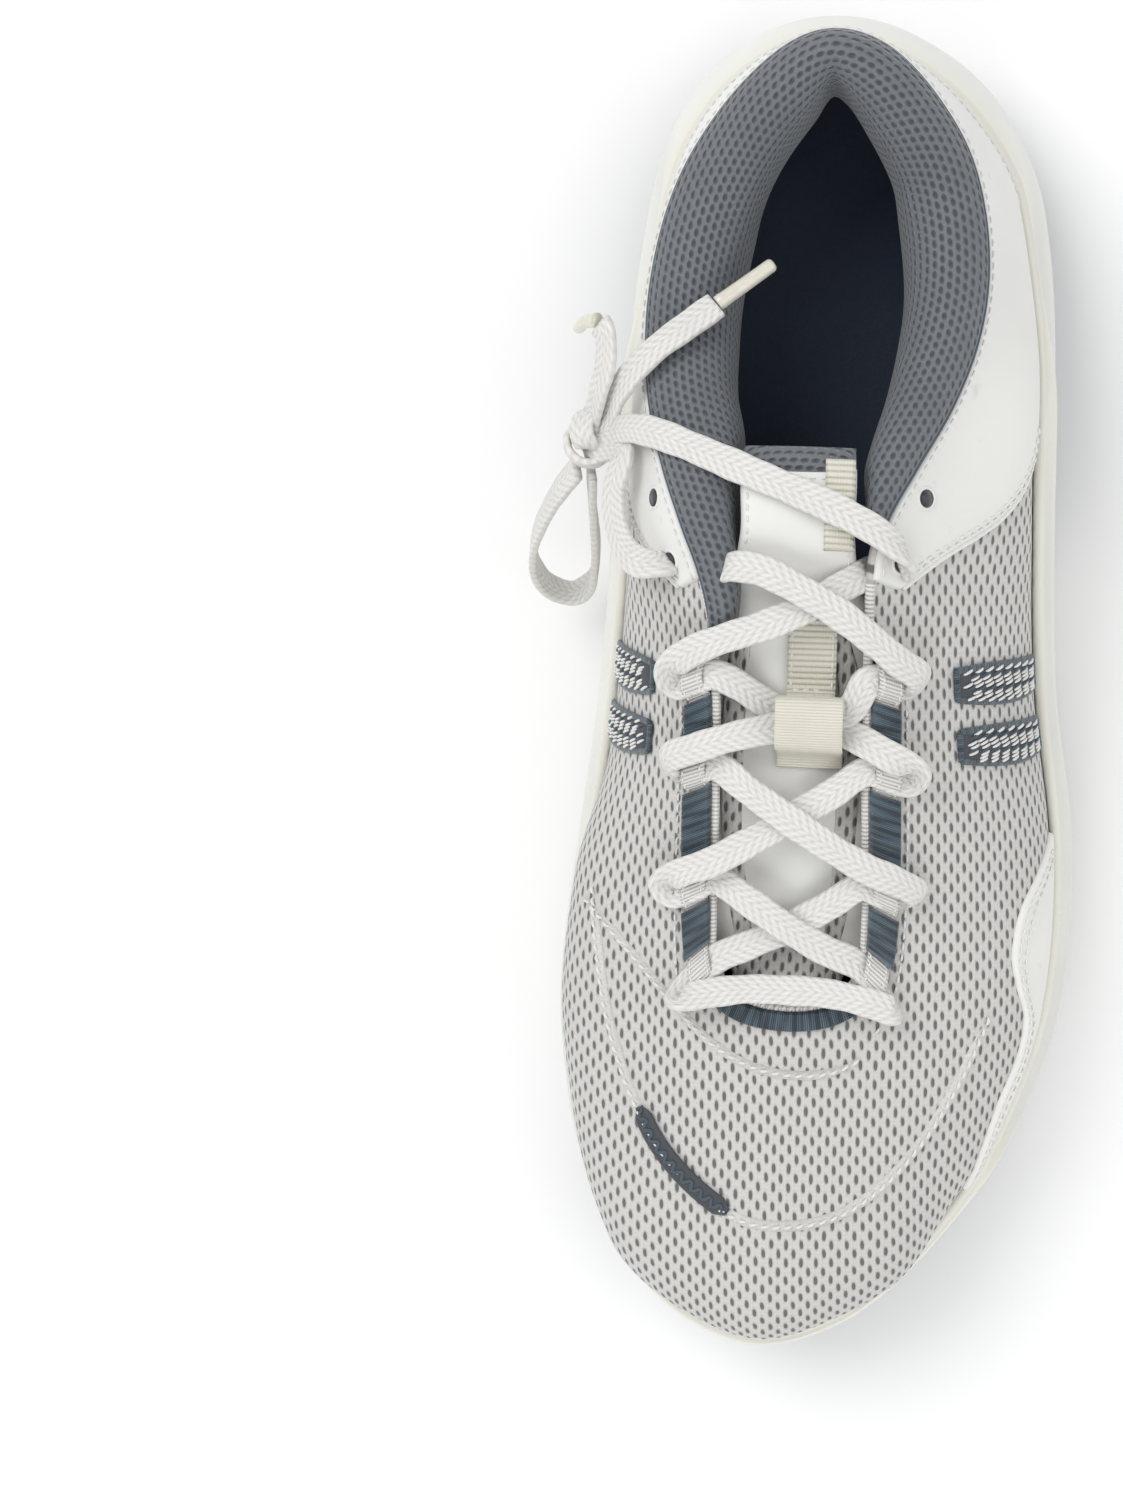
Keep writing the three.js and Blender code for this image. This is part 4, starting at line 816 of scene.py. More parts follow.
def satin_material(settings):
    """Satin stitch: dense parallel threads with a painted sheen that shifts from thread to thread, and painted
    shade between them.
    """
    color = settings.satin_color
    shader = Shader("satin_thread", 0.36, Specular_IOR_Level=0.6, Sheen_Weight=0.4, Sheen_Roughness=0.3)
    across, along = shader.uv()
    thread = along / 0.00045
    profile = ((thread.fract() - 0.5) * 2).abs()
    pick = shader.noise(1.0, 0.0, shader.node("ShaderNodeCombineXYZ", values={
        0: thread.floor() * 0.37, 1: across * 90, 2: 0.0})[0])
    # painted sheen: each thread is made darker or lighter at random for the light it catches
    base = shader.mix(pick.between(0.3, 0.7), shade(color, 0.45), shade(color, 1.75))
    # painted shade: the grooves between threads are darkened
    base = shader.patchy(profile, 0.55, 1.0, 0.7, base, shade(color, 0.22))
    height = 1 - profile * profile + shader.noise(3000, 1.0) * 0.15
    return shader.finish(base, height, 0.00022, 0.8, 0.3 + pick * 0.22)


def lace_material(settings):
    """Flat woven lace: chevron rows that meet along the middle, with fine yarns, and painted shading that
    follows their relief.
    """
    color = settings.lace_color
    shader = Shader("woven_lace", 0.78, Sheen_Weight=0.3, Sheen_Roughness=0.4)
    across, along = shader.uv()
    row = ((along + across.abs() * 1.1) / settings.lace_weave).fract() - 0.5
    yarn = (((across / 0.00105).fract() - 0.5) * 2).abs()
    ridge = 1 - (row * 2).abs() ** 1.6
    # painted shading: each chevron row is lighter on its raised ridge and darker in its groove
    base = shader.mix(ridge, shade(color, 0.88), shade(color, 1.03))
    # painted shade: the grooves between yarns are darkened
    base = shader.patchy(yarn, 0.6, 1.0, 0.3, base, shade(color, 0.8))
    base = shader.patchy(shader.noise(240), 0.35, 0.75, 0.3, base, shade(color, 0.87))
    height = ridge * 0.7 + (1 - yarn * yarn) * 0.5 + shader.noise(4200) * 0.25
    return shader.finish(base, height, 0.00028, 0.9)


def ribbed_material(name, color, rib, depth=0.00035):
    """Ribbed tape: fine ribs across its length, and yarns along it, with painted shade in the grooves between
    ribs.
    """
    shader = Shader(name, 0.8, Sheen_Weight=0.2, Sheen_Roughness=0.4)
    across, along = shader.uv()
    profile = ((along / rib).fract() - 0.5).abs() * 2
    yarn = (across * (2 * math.pi / 0.0006)).sine() * 0.5 + 0.5
    # painted shade: the grooves between ribs are darkened, the rib tops a little lighter
    base = shader.mix(profile.between(0.5, 1.0), shade(color, 1.03), shade(color, 0.82))
    base = shader.patchy(shader.noise(180), 0.3, 0.7, 0.3, base, shade(color, 0.88))
    return shader.finish(base, 1 - profile * profile + yarn * 0.2, depth, 0.9)


def felt_material(name, color):
    """Brushed textile or needled board."""
    shader = Shader(name, 0.95, Sheen_Weight=0.25, Sheen_Roughness=0.6)
    nap = shader.noise(1800, 3.0)
    base = shader.mix(nap, shade(color, 0.7), shade(color, 1.4))
    base = shader.patchy(shader.noise(40, 3.0), 0.3, 0.7, 0.4, base, shade(color, 0.75))
    return shader.finish(base, nap, 0.0003, 0.7)


def grain_material(name, color, roughness, scale, detail, tones, relief=0.0, strength=0.5, **constants):
    """One colour in a fine grain from the first tone to the second, with the same grain as its relief."""
    shader = Shader(name, roughness, **constants)
    grain = shader.noise(scale, detail)
    base = shader.mix(grain, shade(color, tones[0]), shade(color, tones[1]))
    return shader.finish(base, grain if relief else None, relief, strength)


def thread_material(name, color):
    """Sewing thread with a slight twist."""
    return grain_material(name, color, 0.55, 2500, 1.0, (0.85, 1.1), 0.0001, Sheen_Weight=0.2,
                          Sheen_Roughness=0.4)


FINISHES = {
    "knit": knit_material,
    "airmesh": airmesh_material,
    "film": film_material,
    "foam": foam_material,
    "rubber": rubber_material,
    "satin": satin_material,
    "lace": lace_material,
    "tape": lambda look: ribbed_material("ribbed_tape", look.lace_color, 0.0009),
    "keeper": lambda look: ribbed_material("grosgrain", look.keeper_color, 0.0013),
    "keeper_smooth": lambda look: ribbed_material("smooth_webbing", look.keeper_color, 0.0006, 0.00012),
    "seam": lambda look: felt_material("seam_cover", shade(look.mesh_color, 0.95)),
    "thread": lambda look: thread_material("sewing_thread", shade(look.overlay_color, 0.97)),
    # dark thread, which also paints the shade discs inside the punched holes
    "dark_thread_and_hole_shade": lambda look: thread_material("dark_thread_and_hole_shade", (0.05, 0.055, 0.065)),
    "slate_thread": lambda look: thread_material("slate_thread", look.satin_color),
    "aglet": lambda look: grain_material(
        "aglet_film", look.keeper_color, 0.18, 900, 2.0, (0.85, 1.05), 0.0001, 0.4,
        Specular_IOR_Level=0.6, Coat_Weight=0.5, Coat_Roughness=0.1),
    "sock": lambda look: felt_material("sockliner_textile", look.sock_color),
    "board": lambda look: felt_material("needled_board", (0.5, 0.47, 0.38)),
    "stiffener": lambda look: grain_material("formed_sheet", (0.6, 0.6, 0.57), 0.5, 1200, 2.0,
                                             (0.94, 1.04), 0.0001),
    "floor": lambda look: grain_material("pale_floor", (0.93, 0.93, 0.92), 0.8, 6, 2.0, (0.995, 1.005)),
}
made_materials = {}


def material(finish):
    """The named finish, made once."""
    if finish not in made_materials:
        made_materials[finish] = FINISHES[finish](bpy.context.scene.shoe_look)
    return made_materials[finish]


def dress(piece, finish, body="shoe", replaces=()):
    """Gives a piece its finish and the body that it rides on, and hides the solids that it stands for; a piece
    on the tongue's fold has its place baked in and rides on no body.
    """
    piece.data.materials.clear()
    piece.data.materials.append(material(finish))
    if body == "tongue_fold":
        start, end = at(THROAT_CENTRE, 127, 82) * MM, at(THROAT_CENTRE, 120, 84) * MM
        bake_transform(piece)
    else:
        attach(piece, body)
    if replaces:
        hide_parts(*replaces)
    return piece


def sew(name, path, shape, body="shoe"):
    """A row of stitches along a path (points, facing); shape is pitch, length, thickness, lift and slant."""
    dress(stitches(name, *path, *shape), "thread", body)


def lay(name, path, step, width, height, finish, count=10):
    """A round bar along a path (points, facing) at even steps."""
    points, facing = path
    dress(sweep(name, *resample(points, step, facing), round_section(width, height, count)), finish)


def facing_up(points):
    return np.tile(UPWARD, (len(points), 1))


# ------------------------------------------------------------------------------ shared paths and grids
def vamp_grid():
    """The vamp's outer face and its normals: it swells over the foam's lip, least at the toe's tip."""
    keys = np.linspace(0.36, 1.64, 620)
    v = np.concatenate([np.linspace(-0.5, 0, 8)[:-1], np.linspace(0, 1, 84)])
    grid, normals = surface(keys[:, None], v[None])
    reach = window(keys, 0.83, 0.92, 1.37, 1.45)
    tip = window(keys, 0.88, 0.96, 1.04, 1.12)
    height = (3.6 - 2.2 * tip) * reach
    swell = height[:, None] * (window(v, 0.0, 0.09, 0.16, 0.6))[None]
    return keys, v, grid + normals * swell[..., None], normals


class Drape:
    """Finds where a plan point lies on the vamp, and which way the vamp faces there."""

    def __init__(self):
        _, _, grid, normals = vamp_grid()
        points = grid[::3, 7:].reshape(-1, 3)
        self.points, self.normals = points, normals[::3, 7:].reshape(-1, 3)
        self.tree = KDTree(len(points))
        for i, point in enumerate(points):
            self.tree.insert((point[0], point[1], 0), i)
        self.tree.balance()

    def path(self, rows, rise, step=0.8):
        """A smooth path over the vamp through plan points (across, from heel), and its normals."""
        rows = np.array(rows, float)
        line = catmull(at(rows[:, 0], rows[:, 1], 0), np.linspace(0, 1, 24 * len(rows)))
        line = resample(line, step)
        points, normals = [], []
        for place in line:
            near = self.tree.find_n((place[0], place[1], 0), 5)
            index = [i for _, i, _ in near]
            weight = np.array([1 / (distance + 0.05) for _, _, distance in near])
            weight /= weight.sum()
            normal = unit((self.normals[index] * weight[:, None]).sum(0))
            slope = self.points[index]
            offset = np.array([place[0], place[1]]) - slope[:, :2]
            height = slope[:, 2] - (offset @ normal[:2]) / max(normal[2], 0.15)
            points.append([place[0], place[1], (height * weight).sum()])
            normals.append(normal)
        points, normals = np.array(points), np.array(normals)
        for _ in range(3):
            points[1:-1, 2] = (points[:-2, 2] + points[1:-1, 2] * 2 + points[2:, 2]) / 4
        return points + normals * rise, normals


def knit_uv(keys, v, grid):
    """Flat pattern of the upper: each line down the wall is rolled out along its plan direction."""
    start = int(np.argmin(np.abs(v - 1)))
    run = np.zeros(grid.shape[:2])
    gaps = np.linalg.norm(np.diff(grid, axis=1), axis=-1)
    run[:, :-1] = np.cumsum(gaps[:, ::-1], axis=1)[:, ::-1]
    top = grid[:, start, :2]
    lip = upper_point(keys, 0.0)[:, :2]
    way = unit(lip - top)
    return (top[:, None] + way[:, None] * run[..., None]) * MM


def edge_path(keys, v, rise):
    """A path on the upper given by keys and v, and which way the upper faces there."""
    return upper_offset(keys, v, rise), upper_normal(keys, v)


# ------------------------------------------------------------------------------ sole
# from heel, height of the raised line along the foam wall
CREST = Rows([
    (0, 33), (26, 37), (45, 42), (59, 46), (72, 50.5), (91, 50.5), (106, 46.5), (122, 42), (141, 36),
    (153, 31.5), (172, 24.5), (192, 17.5), (208, 13.5), (222, 15), (236, 20), (252, 26), (270, 30.5), (298, 36),
])
# from heel, height of the hollow under that line
VALLEY = Rows([
    (0, 25), (26, 27.5), (45, 32), (64, 37.5), (88, 38), (108, 33), (130, 26), (152, 19.5), (176, 12),
    (200, 8), (298, 8),
])


def foam_relief(from_heel, height):
    """How far the foam wall stands out from its plain shape, how much painted shade its hollows get, and where
    it is stippled.
    """
    crest, valley = CREST.one(from_heel), VALLEY.one(from_heel)
    leaf = window(from_heel, 140, 172, 268, 290)
    ledge = window(from_heel, 48, 84, 250, 284)
    panel = smooth(0.3, 2.6, height - crest) * leaf
    ridge = bell(np.clip(height - crest, 0, None), 1.5) * bell(np.clip(crest - height, 0, None), 4.2) * ledge
    shelf = smooth(0, 4, height - crest) * window(from_heel, 48, 72, 128, 160)
    groove = bell(height - valley, 5.2) * window(from_heel, 10, 60, 160, 205)
    low = bell(height - valley + 11, 5.0) * window(from_heel, 112, 160, 225, 262)
    relief = 1.7 * ridge - 1.9 * panel - 0.9 * shelf - 2.9 * groove + 0.9 * low
    # the second value masks the painted shade in the grooves and the sunken panel, none on the ridge
    return relief, np.clip(groove * 0.9 + panel * 0.3 - ridge, 0, 1), panel


def build_midsole():
    keys = np.linspace(0, 2, 560, endpoint=False)
    columns, lips, hollow_shades, stipples = [], [], [], []

    def add(plan, height, lip=0.0, hollow_shade=0.0, stipple=0.0):
        columns.append(at(plan[:, 0], plan[:, 1], height))
        for store, value in ((lips, lip), (hollow_shades, hollow_shade), (stipples, stipple)):
            store.append(np.broadcast_to(np.asarray(value, float), keys.shape))

    cup, lip_in, lip = cup_inset(keys), lip_inset(keys), lip_height(keys)
    middle = centre(keys)
    rim = inset(keys, cup)
    for share in (1, 0.45, 0):
        plan = lerp(rim, middle, share)
        add(plan, BED.one(plan[:, 1]))
    for angle in np.linspace(0, math.pi, 9):
        depth = lip_in + LIP / 2 * (1 + math.cos(angle))
        add(inset(keys, depth), lip - 1.0 + math.sin(angle), lip=0.8)
    seat = RUBBER + CLEARANCE
    step = wrap_height(keys) + CLEARANCE
    for share in np.linspace(0, 1, 76)[1:]:
        height = lerp(lip - 1.0, step, share)
        plan = inset(keys, wall_inset(keys, height))
        relief, hollow_shade, stipple = foam_relief(plan[:, 1], height)
        fade = smooth(0, 3.5, lip - height) * smooth(0, 2.0, height - step)
        add(inset(keys, wall_inset(keys, height) - relief * fade), height,
            lip=bell(lip - height, 4.5), hollow_shade=hollow_shade * fade, stipple=stipple * fade)
    add(inset(keys, wall_inset(keys, step) + seat), step)
    ground = edge_ground(keys)
    add(inset(keys, ground_inset(keys) + seat), ground + seat)
    for share in (0.45, 1):
        plan = lerp(inset(keys, ground_inset(keys) + seat), middle, share)
        add(plan, ground_height(plan[:, 1]) + seat)
    rings = np.stack(columns)
    piece = loft("sole_foam", rings, caps=False, fields={
        "lip": np.stack(lips), "hollow_shade": np.stack(hollow_shades), "stipple": np.stack(stipples)})
    return dress(piece, "foam", replaces=["midsole"])


def tread(x, from_heel):
    """Depth of the outsole's grooves: zigzag lugs with a plain rim."""
    zigzag = np.abs(((x / 13) % 1) - 0.5) * 13
    phase = ((from_heel + zigzag * 1.3) / 6.2) % 1
    groove = window(phase, 0.0, 0.12, 0.30, 0.42)
    stem = bell(np.abs(x + 1) - 19, 1.0)
    return 1.3 * np.maximum(groove, stem)


def rubber_section(keys, extra, fine=34):
    """Section of the rubber at each key, from the centre line to its edge on the side wall."""
    columns = []
    for share in np.linspace(1, 0, fine):
        plan = lerp(inset(keys, ground_inset(keys) + extra), centre(keys), share)
        lift = 0.0 if extra else tread(plan[:, 0], plan[:, 1]) * smooth(0.0, 0.10, share)
        columns.append(at(plan[:, 0], plan[:, 1], ground_height(plan[:, 1]) + extra + lift))
    top, low = wrap_height(keys), edge_ground(keys) + extra
    for share in np.linspace(0, 1, 22)[1:]:
        height = lerp(low, top, share)
        plan = inset(keys, wall_inset(keys, height) + extra)
        if not extra:
            run = plan[:, 1] + 5.5 * np.sin(height * 0.17) + 1.5
            notch = bell(run % 11.5 - 5.75, 1.05)
            reach = smooth(1.0, 3.5, height - low) * (1 - smooth(9, 15, height - low))
            deep = notch * reach * window(plan[:, 1], 14, 24, 100, 112) * 1.7
            soft = 0.6 * max(0.0, (share - 0.93) / 0.07) ** 2
            plan = inset(keys, wall_inset(keys, height) + deep + soft)
        columns.append(at(plan[:, 0], plan[:, 1], height))
    return np.stack(columns, axis=1)


def build_outsole():
    first, second, third = GROOVES
    spans = {"heel": (-(first - GROOVE_HALF), first - GROOVE_HALF, 560),
             "toe_pod": (third + GROOVE_HALF, 2 - third - GROOVE_HALF, 190),
             "arch_pod": (first + GROOVE_HALF, second - GROOVE_HALF, 70),
             "ball_pod": (second + GROOVE_HALF, third - GROOVE_HALF, 70)}
    for name, (low, high, count) in spans.items():
        keys = np.linspace(low, high, count)
        grids = [rubber_section(keys, extra) for extra in (0, RUBBER)]
        if name in ("arch_pod", "ball_pod"):
            grids = [np.concatenate([rubber_section(2 - keys, extra)[:, :0:-1], near], axis=1)
                     for extra, near in zip((0, RUBBER), grids)]
        dress(shell(f"tread_{name}", *grids), "rubber", replaces=[f"outsole_{name}"])


# ------------------------------------------------------------------------------ upper
def build_vamp():
    keys, v, grid, normals = vamp_grid()
    folds = 0.35 * np.sin(grid[..., 1] * 0.33 + grid[..., 0] * 0.12) * smooth(0.2, 0.5, v)[None]
    calm = smooth(60, 40, np.abs(grid[..., 1] - 40)) * 0.6
    outer = grid + normals * (folds * calm)[..., None]
    piece = shell("vamp_knit", outer, grid - normals * MESH, knit_uv(keys, v, grid))
    return dress(piece, "knit", replaces=["vamp_mesh"])


def build_heel_knit():
    keys = np.linspace(-0.358, 0.358, 260)
    v = np.concatenate([np.linspace(-0.5, 0, 5)[:-1], np.linspace(0, 1, 50)])
    grid, normals = surface(keys[:, None], v[None])
    run = along_path(upper_point(keys, 0.3))
    uv = flat_uv(run[:, None], grid[..., 2])
    piece = shell("heel_knit", grid, grid - normals * MESH, uv)
    return dress(piece, "knit", replaces=["heel_mesh"])


# side key, v of the heel overlay's lower edge, and of the forefoot overlay's upper edge
HEEL_OVERLAY_LOW = Rows([
    (0, 0.42), (0.05, 0.4), (0.1, 0.35), (0.15, 0.24), (0.2, 0.08), (0.23, 0.04), (0.3, 0.04),
    (0.34, 0.05), (0.37, 0.16), (0.4, 0.34), (0.44, 0.62), (0.475, 0.85),
])
FOREFOOT_OVERLAY_TOP = Rows([
    (0.59, 0.06), (0.617, 0.2), (0.643, 0.3), (0.675, 0.33), (0.694, 0.28), (0.71, 0.2),
    (0.735, 0.17), (0.77, 0.185), (0.8, 0.15), (0.818, 0.09), (0.83, 0.05),
])


def overlay_piece(name, keys, low, high, rise, thickness, steps=44):
    """A smooth layer on the upper between two edges given by v at each key, with rounded edges."""
    share = 0.5 - 0.5 * np.cos(np.linspace(0, math.pi, steps))
    v = low[:, None] + (high - low)[:, None] * share[None]
    base, normals = surface(keys[:, None], v)
    run = run_across(base)
    edge = np.minimum(run, run[:, -1:] - run)
    ends = np.minimum(along_path(base[:, steps // 2]), along_path(base[::-1, steps // 2])[::-1])
    edge = np.minimum(edge, ends[:, None])
    lift = rise + thickness * np.sqrt(np.clip(1 - (1 - np.clip(edge / 1.0, 0, 1)) ** 2, 0, 1))
    return shell(name, base + normals * lift[..., None], base + normals * (rise * 0.2))


OVERLAY_STITCH = (2.3, 1.7, 0.55, 0.12)


def build_overlays():
    keys = np.linspace(-0.474, 0.474, 520)
    low = HEEL_OVERLAY_LOW.one(np.abs(keys))
    heel = overlay_piece("heel_overlay_film", keys, low, 0 * low + 0.992, 0.12, 1.15, 56)
    dress(heel, "film", replaces=["heel_overlay"])
    keys = np.linspace(0.59, 0.83, 200)
    top = 0.012 + FOREFOOT_OVERLAY_TOP.one(keys)
    fore = overlay_piece("forefoot_overlay_film", keys, 0 * top - 0.02, top, 0.1, 1.0, 36)
    dress(fore, "film", replaces=["forefoot_overlay"])
    for side, sign in (("outer", 1), ("inner", -1)):
        span = np.linspace(0.345, 0.472, 160) * sign
        edge = HEEL_OVERLAY_LOW.one(np.abs(span))
        for row, inward in enumerate((0.022, 0.045), 1):
            sew(f"overlay_stitch_{side}_{row}", edge_path(span, edge + inward, 1.35), OVERLAY_STITCH)
        lay(f"overlay_piping_{side}", edge_path(span, edge - 0.006, 0.55), 1.0, 1.3, 1.1, "film")
    span = np.linspace(-0.205, 0.205, 360)
    edge = HEEL_OVERLAY_LOW.one(np.abs(span))
    lay("heel_piping", edge_path(span, edge - 0.008, 0.6), 1.0, 1.9, 1.7, "film")
    sew("heel_stitch", edge_path(span, edge + 0.04, 1.35), OVERLAY_STITCH)
    span = np.linspace(0.6, 0.824, 220)
    for row, inward in enumerate((-0.03, -0.062), 1):
        v = np.maximum(0.012 + FOREFOOT_OVERLAY_TOP.one(span) + inward, 0.012)
        sew(f"forefoot_stitch_{row}", edge_path(span, v, 1.2), (2.2, 1.6, 0.55, 0.12))
    span = np.linspace(-0.474, 0.474, 520)
    sew("topline_stitch", edge_path(span, 0 * span + 0.955, 1.3), (2.4, 1.8, 0.5, 0.12))
    for name, place in (("spare_hole_outer", (21.5, 113)), ("spare_hole_inner", (-32.5, 114)),
                        ("eyelet_outer", (17, 126.5)), ("eyelet_inner", (-28.5, 127))):
        eyelet_mark(name, place)


def eyelet_mark(name, place):
    """A punched hole's turned-in edge, with a near-black disc inside as painted shade for the hole."""
    outer = place[0] > 0
    keys = np.linspace(0.38, 0.52, 60)
    keys = keys if outer else 2 - keys
    v = np.linspace(0.6, 1, 60)
    grid = upper_point(keys[:, None], v[None])
    goal = at(place[0], place[1], 0)
    i, j = np.unravel_index(np.argmin(np.sum((grid[..., :2] - goal[:2]) ** 2, -1)), grid.shape[:2])
    facing = upper_normal(keys[i], v[j])
    middle = grid[i, j]
    side = unit(np.cross(facing, UPWARD))
    up = np.cross(facing, side)
    angle = np.linspace(0, 2 * np.pi, 40, endpoint=False)
    circle = side * np.cos(angle)[:, None] + up * np.sin(angle)[:, None]
    profile = [(2.55, 1.25), (2.45, 1.5), (2.2, 1.62), (1.95, 1.5), (1.8, 1.3)]
    ring = np.stack([middle + circle * radius + facing * lift for radius, lift in profile])
    dress(loft(name + "_edge", ring, caps=False), "film")
    # painted shade: a dark disc fills the hole where there would only be shade
    hole_shade_disc = np.stack([middle + circle * radius + facing * lift
                      for radius, lift in ((1.86, 1.40), (1.5, 1.34), (0.8, 1.32), (0.2, 1.32))])
    dress(loft(name + "_mouth", hole_shade_disc), "dark_thread_and_hole_shade")


def border(count):
    """How near a share from 0 to 1 is to the middle of a patch: 0 at the edges, 1 inside."""
    share = np.linspace(0, 1, count)
    return np.sqrt(np.clip(1 - (1 - np.clip(np.minimum(share, 1 - share) * 7, 0, 1)) ** 2, 0, 1))


def build_emblem():
    """Two slanted embroidered bars on each side: a dark field, hatching in light thread, a cord border."""
    for side, sign in (("outer", 1), ("inner", -1)):
        for place, middle, seed in (("front", 0.542, 17), ("rear", 0.505, 29)):
            v = np.linspace(0.1, 0.58, 90)
            half = 0.011 * (0.55 + 0.45 * np.sin(np.linspace(0.5, 2.6, 90)))[None]
            keys = middle + np.linspace(-1, 1, 26)[:, None] * half + 0.055 * (v - 0.34)[None]
            grid, normals = surface(keys if sign > 0 else 2 - keys, np.broadcast_to(v[None], keys.shape))
            rise = 0.12 + 0.75 * border(26)[:, None] * border(90)[None]
            uv = flat_uv((np.linspace(-1, 1, 26) * 4)[:, None], along_path(grid[13])[None])
            name = f"emblem_{place}_{side}"
            field = shell(name + "_field", grid + normals * rise[..., None], grid + normals * 0.02, uv)
            dress(field, "dark_thread_and_hole_shade", replaces=[name])
            rng = np.random.default_rng(seed)
            for row in range(9):
                column = 2 + row * 2.6
                below = int(column)
                face = normals[below, 4:86]
                line = lerp(grid[below, 4:86], grid[below + 1, 4:86], column - below) + face * 0.95
                hatch = stitches(f"{name}_hatch_{row + 1}", *resample(line, 0.7, face),
                                 2.9 + 0.4 * rng.random(), 2.5, 0.72, 0.12, 0.5)
                dress(hatch, "slate_thread" if row % 4 == 1 else "thread")
            loop, face = (np.concatenate([g[:, 0], g[-1, 1:], g[-2::-1, -1], g[0, -2::-1]])
                          for g in (grid, normals))
            loop, face = resample(loop, 0.8, face)
            rim = sweep(name + "_border", loop + face * 0.5, face, round_section(1.5, 1.1, 12))
            dress(rim, "satin")


# toe seams over the vamp: across, from heel
TOE_SEAM = [(-45.6, 196), (-44.3, 209), (-41, 226), (-35.5, 241), (-28.6, 252.5), (-19.5, 261.5),
            (-10, 266.5), (0, 267), (9.5, 264.5), (18.5, 258), (27.5, 247), (35, 233), (40.5, 219)]
THROAT_SEAM = [(-47.5, 199), (-40.5, 206), (-33.5, 213), (-26, 221), (-18, 228.5), (-9, 233),
               (0, 234.2), (8, 233), (15, 229)]
DASH = [(-33.6, 243.5), (-30, 250), (-25, 256), (-19, 261.2), (-13.5, 264.8)]


def build_seams(drape):
    """The sewn lines over the toe and the dark satin dash at the inner toe."""
    for name, rows, width in (("toe_seam", TOE_SEAM, 2.6), ("throat_seam", THROAT_SEAM, 2.2)):
        points, facing = drape.path(rows, 0.0)
        place = np.arange(len(points))
        taper = np.clip(np.minimum(place, place[::-1]) / 12, 0.15, 1)
        ridge = sweep(name + "_ridge", points - facing * 0.25, facing, round_section(width, 1.7, 12), taper)
        dress(ridge, "seam")
        sew(name + "_stitch", drape.path(rows, 0.75), (2.5, 1.9, 0.75, 0.1, 0.25))
    points, facing = drape.path(DASH, 0.55, 0.5)
    place = np.arange(len(points))
    taper = np.clip(np.minimum(place, place[::-1]) / 5, 0.2, 1) ** 0.5
    dash = sweep("toe_dash", points, facing, flat_section(4.6, 1.3, 0.6), taper)
    dress(dash, "dark_thread_and_hole_shade")
    _, normal, side = frames(points, facing)
    turn = np.linspace(0, 2 * np.pi * 11, len(points))
    twisted = points + normal * 0.7 + side * (0.9 * np.sin(turn))[:, None]
    twist = sweep("toe_dash_twist", twisted, facing, round_section(0.85, 0.7, 8), taper)
    dress(twist, "slate_thread")


# ------------------------------------------------------------------------------ collar
def build_collar():
    keys = np.linspace(-0.515, 0.45, 440)
    w = np.concatenate([np.linspace(0, 0.6, 46), np.linspace(0.6, 1, 22)[1:]])
    grid = lining_points(np.mod(keys, 2), w)
    normals = unit(np.cross(np.gradient(grid, axis=0), np.gradient(grid, axis=1)))
    middle = at(0, LINING_MIDDLE, 60)
    if np.sum(normals[:, 30] * (middle - grid[:, 30])) < 0:
        normals = -normals
    uv = flat_uv(along_path(grid[:, 20])[:, None], run_across(grid))
    swell = 0.35 * np.sin(np.clip(w / 0.5, 0, 1) * math.pi)[None]
    piece = shell("collar_padding", grid + normals * swell[..., None], grid - normals * LINING, uv)
    dress(piece, "airmesh", replaces=["collar_lining", "collar_foam"])
    span = np.linspace(-0.512, 0.447, 390)
    top = TOPLINE(np.mod(span, 2))
    line = at(top[:, 0], top[:, 1], top[:, 2] + 0.6)
    lay("collar_welt", (line, facing_up(line)), 1.0, 1.5, 1.5, "slate_thread")


def build_inner():
    """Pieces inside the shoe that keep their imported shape."""
    finishes = {"strobel_board": "board", "sockliner": "sock", "heel_counter": "stiffener",
                "toe_puff": "stiffener"}
    for name, finish in finishes.items():
        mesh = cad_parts[name].data
        mesh.materials.clear()
        mesh.materials.append(material(finish))


# ------------------------------------------------------------------------------ eyestay
LACE_GAPS = (149.5, 168, 192, 209.5)
SATIN_SPANS = ((153.8, 163.8), (172.3, 187.7), (196.3, 205.3))
TAPE_WIDTH = 6.0
TAPE_THICKNESS = 0.8
SATIN_WIDTH = 7.4
ARCH_WIDTH = 4.2


def tape_rise(from_heel):
    """Height of the tape's underside: flat under the satin bars, arched over each gap."""
    arch = sum(np.sin(np.clip(1 - np.abs(from_heel - gap) / 4, 0, 1) * math.pi / 2) ** 0.7 for gap in LACE_GAPS)
    return CLEARANCE + 2.9 * np.minimum(arch, 1)


def from_last(points):
    """Directions from the middle of the foot to points round the throat."""
    return unit(points - at(THROAT_CENTRE, HALF_LENGTH - points[:, 1], 20))


def build_tape(side, outer):
    """The ribbed tape with a row of stitches along each of its edges."""
    stations = np.linspace(142.5, 213.4, 150)[:, None]
    shares = np.linspace(0, 1, 9)[None]
    rise = np.broadcast_to(tape_rise(stations), (150, 9))
    rounding = 0.25 * np.abs(shares * 2 - 1) ** 4
    top = eyestay_point(stations, outer, 1 + shares * TAPE_WIDTH, rise + TAPE_THICKNESS - rounding)
    low = eyestay_point(stations, outer, 1 + shares * TAPE_WIDTH, rise)
    uv = flat_uv((shares - 0.5) * TAPE_WIDTH, along_path(top[:, 4])[:, None])
    dress(shell(f"lace_tape_{side}_web", top, low, uv), "tape", replaces=[f"lace_tape_{side}"])
    stations = np.linspace(142.6, 213.2, 150)
    for share in (0.14, 0.86):
        line = eyestay_point(stations, outer, 1 + share * TAPE_WIDTH, tape_rise(stations) + TAPE_THICKNESS)
        sew(f"lace_tape_{side}_edge_{int(share * 100)}", (line, from_last(line)), (1.7, 1.25, 0.45, 0.05))


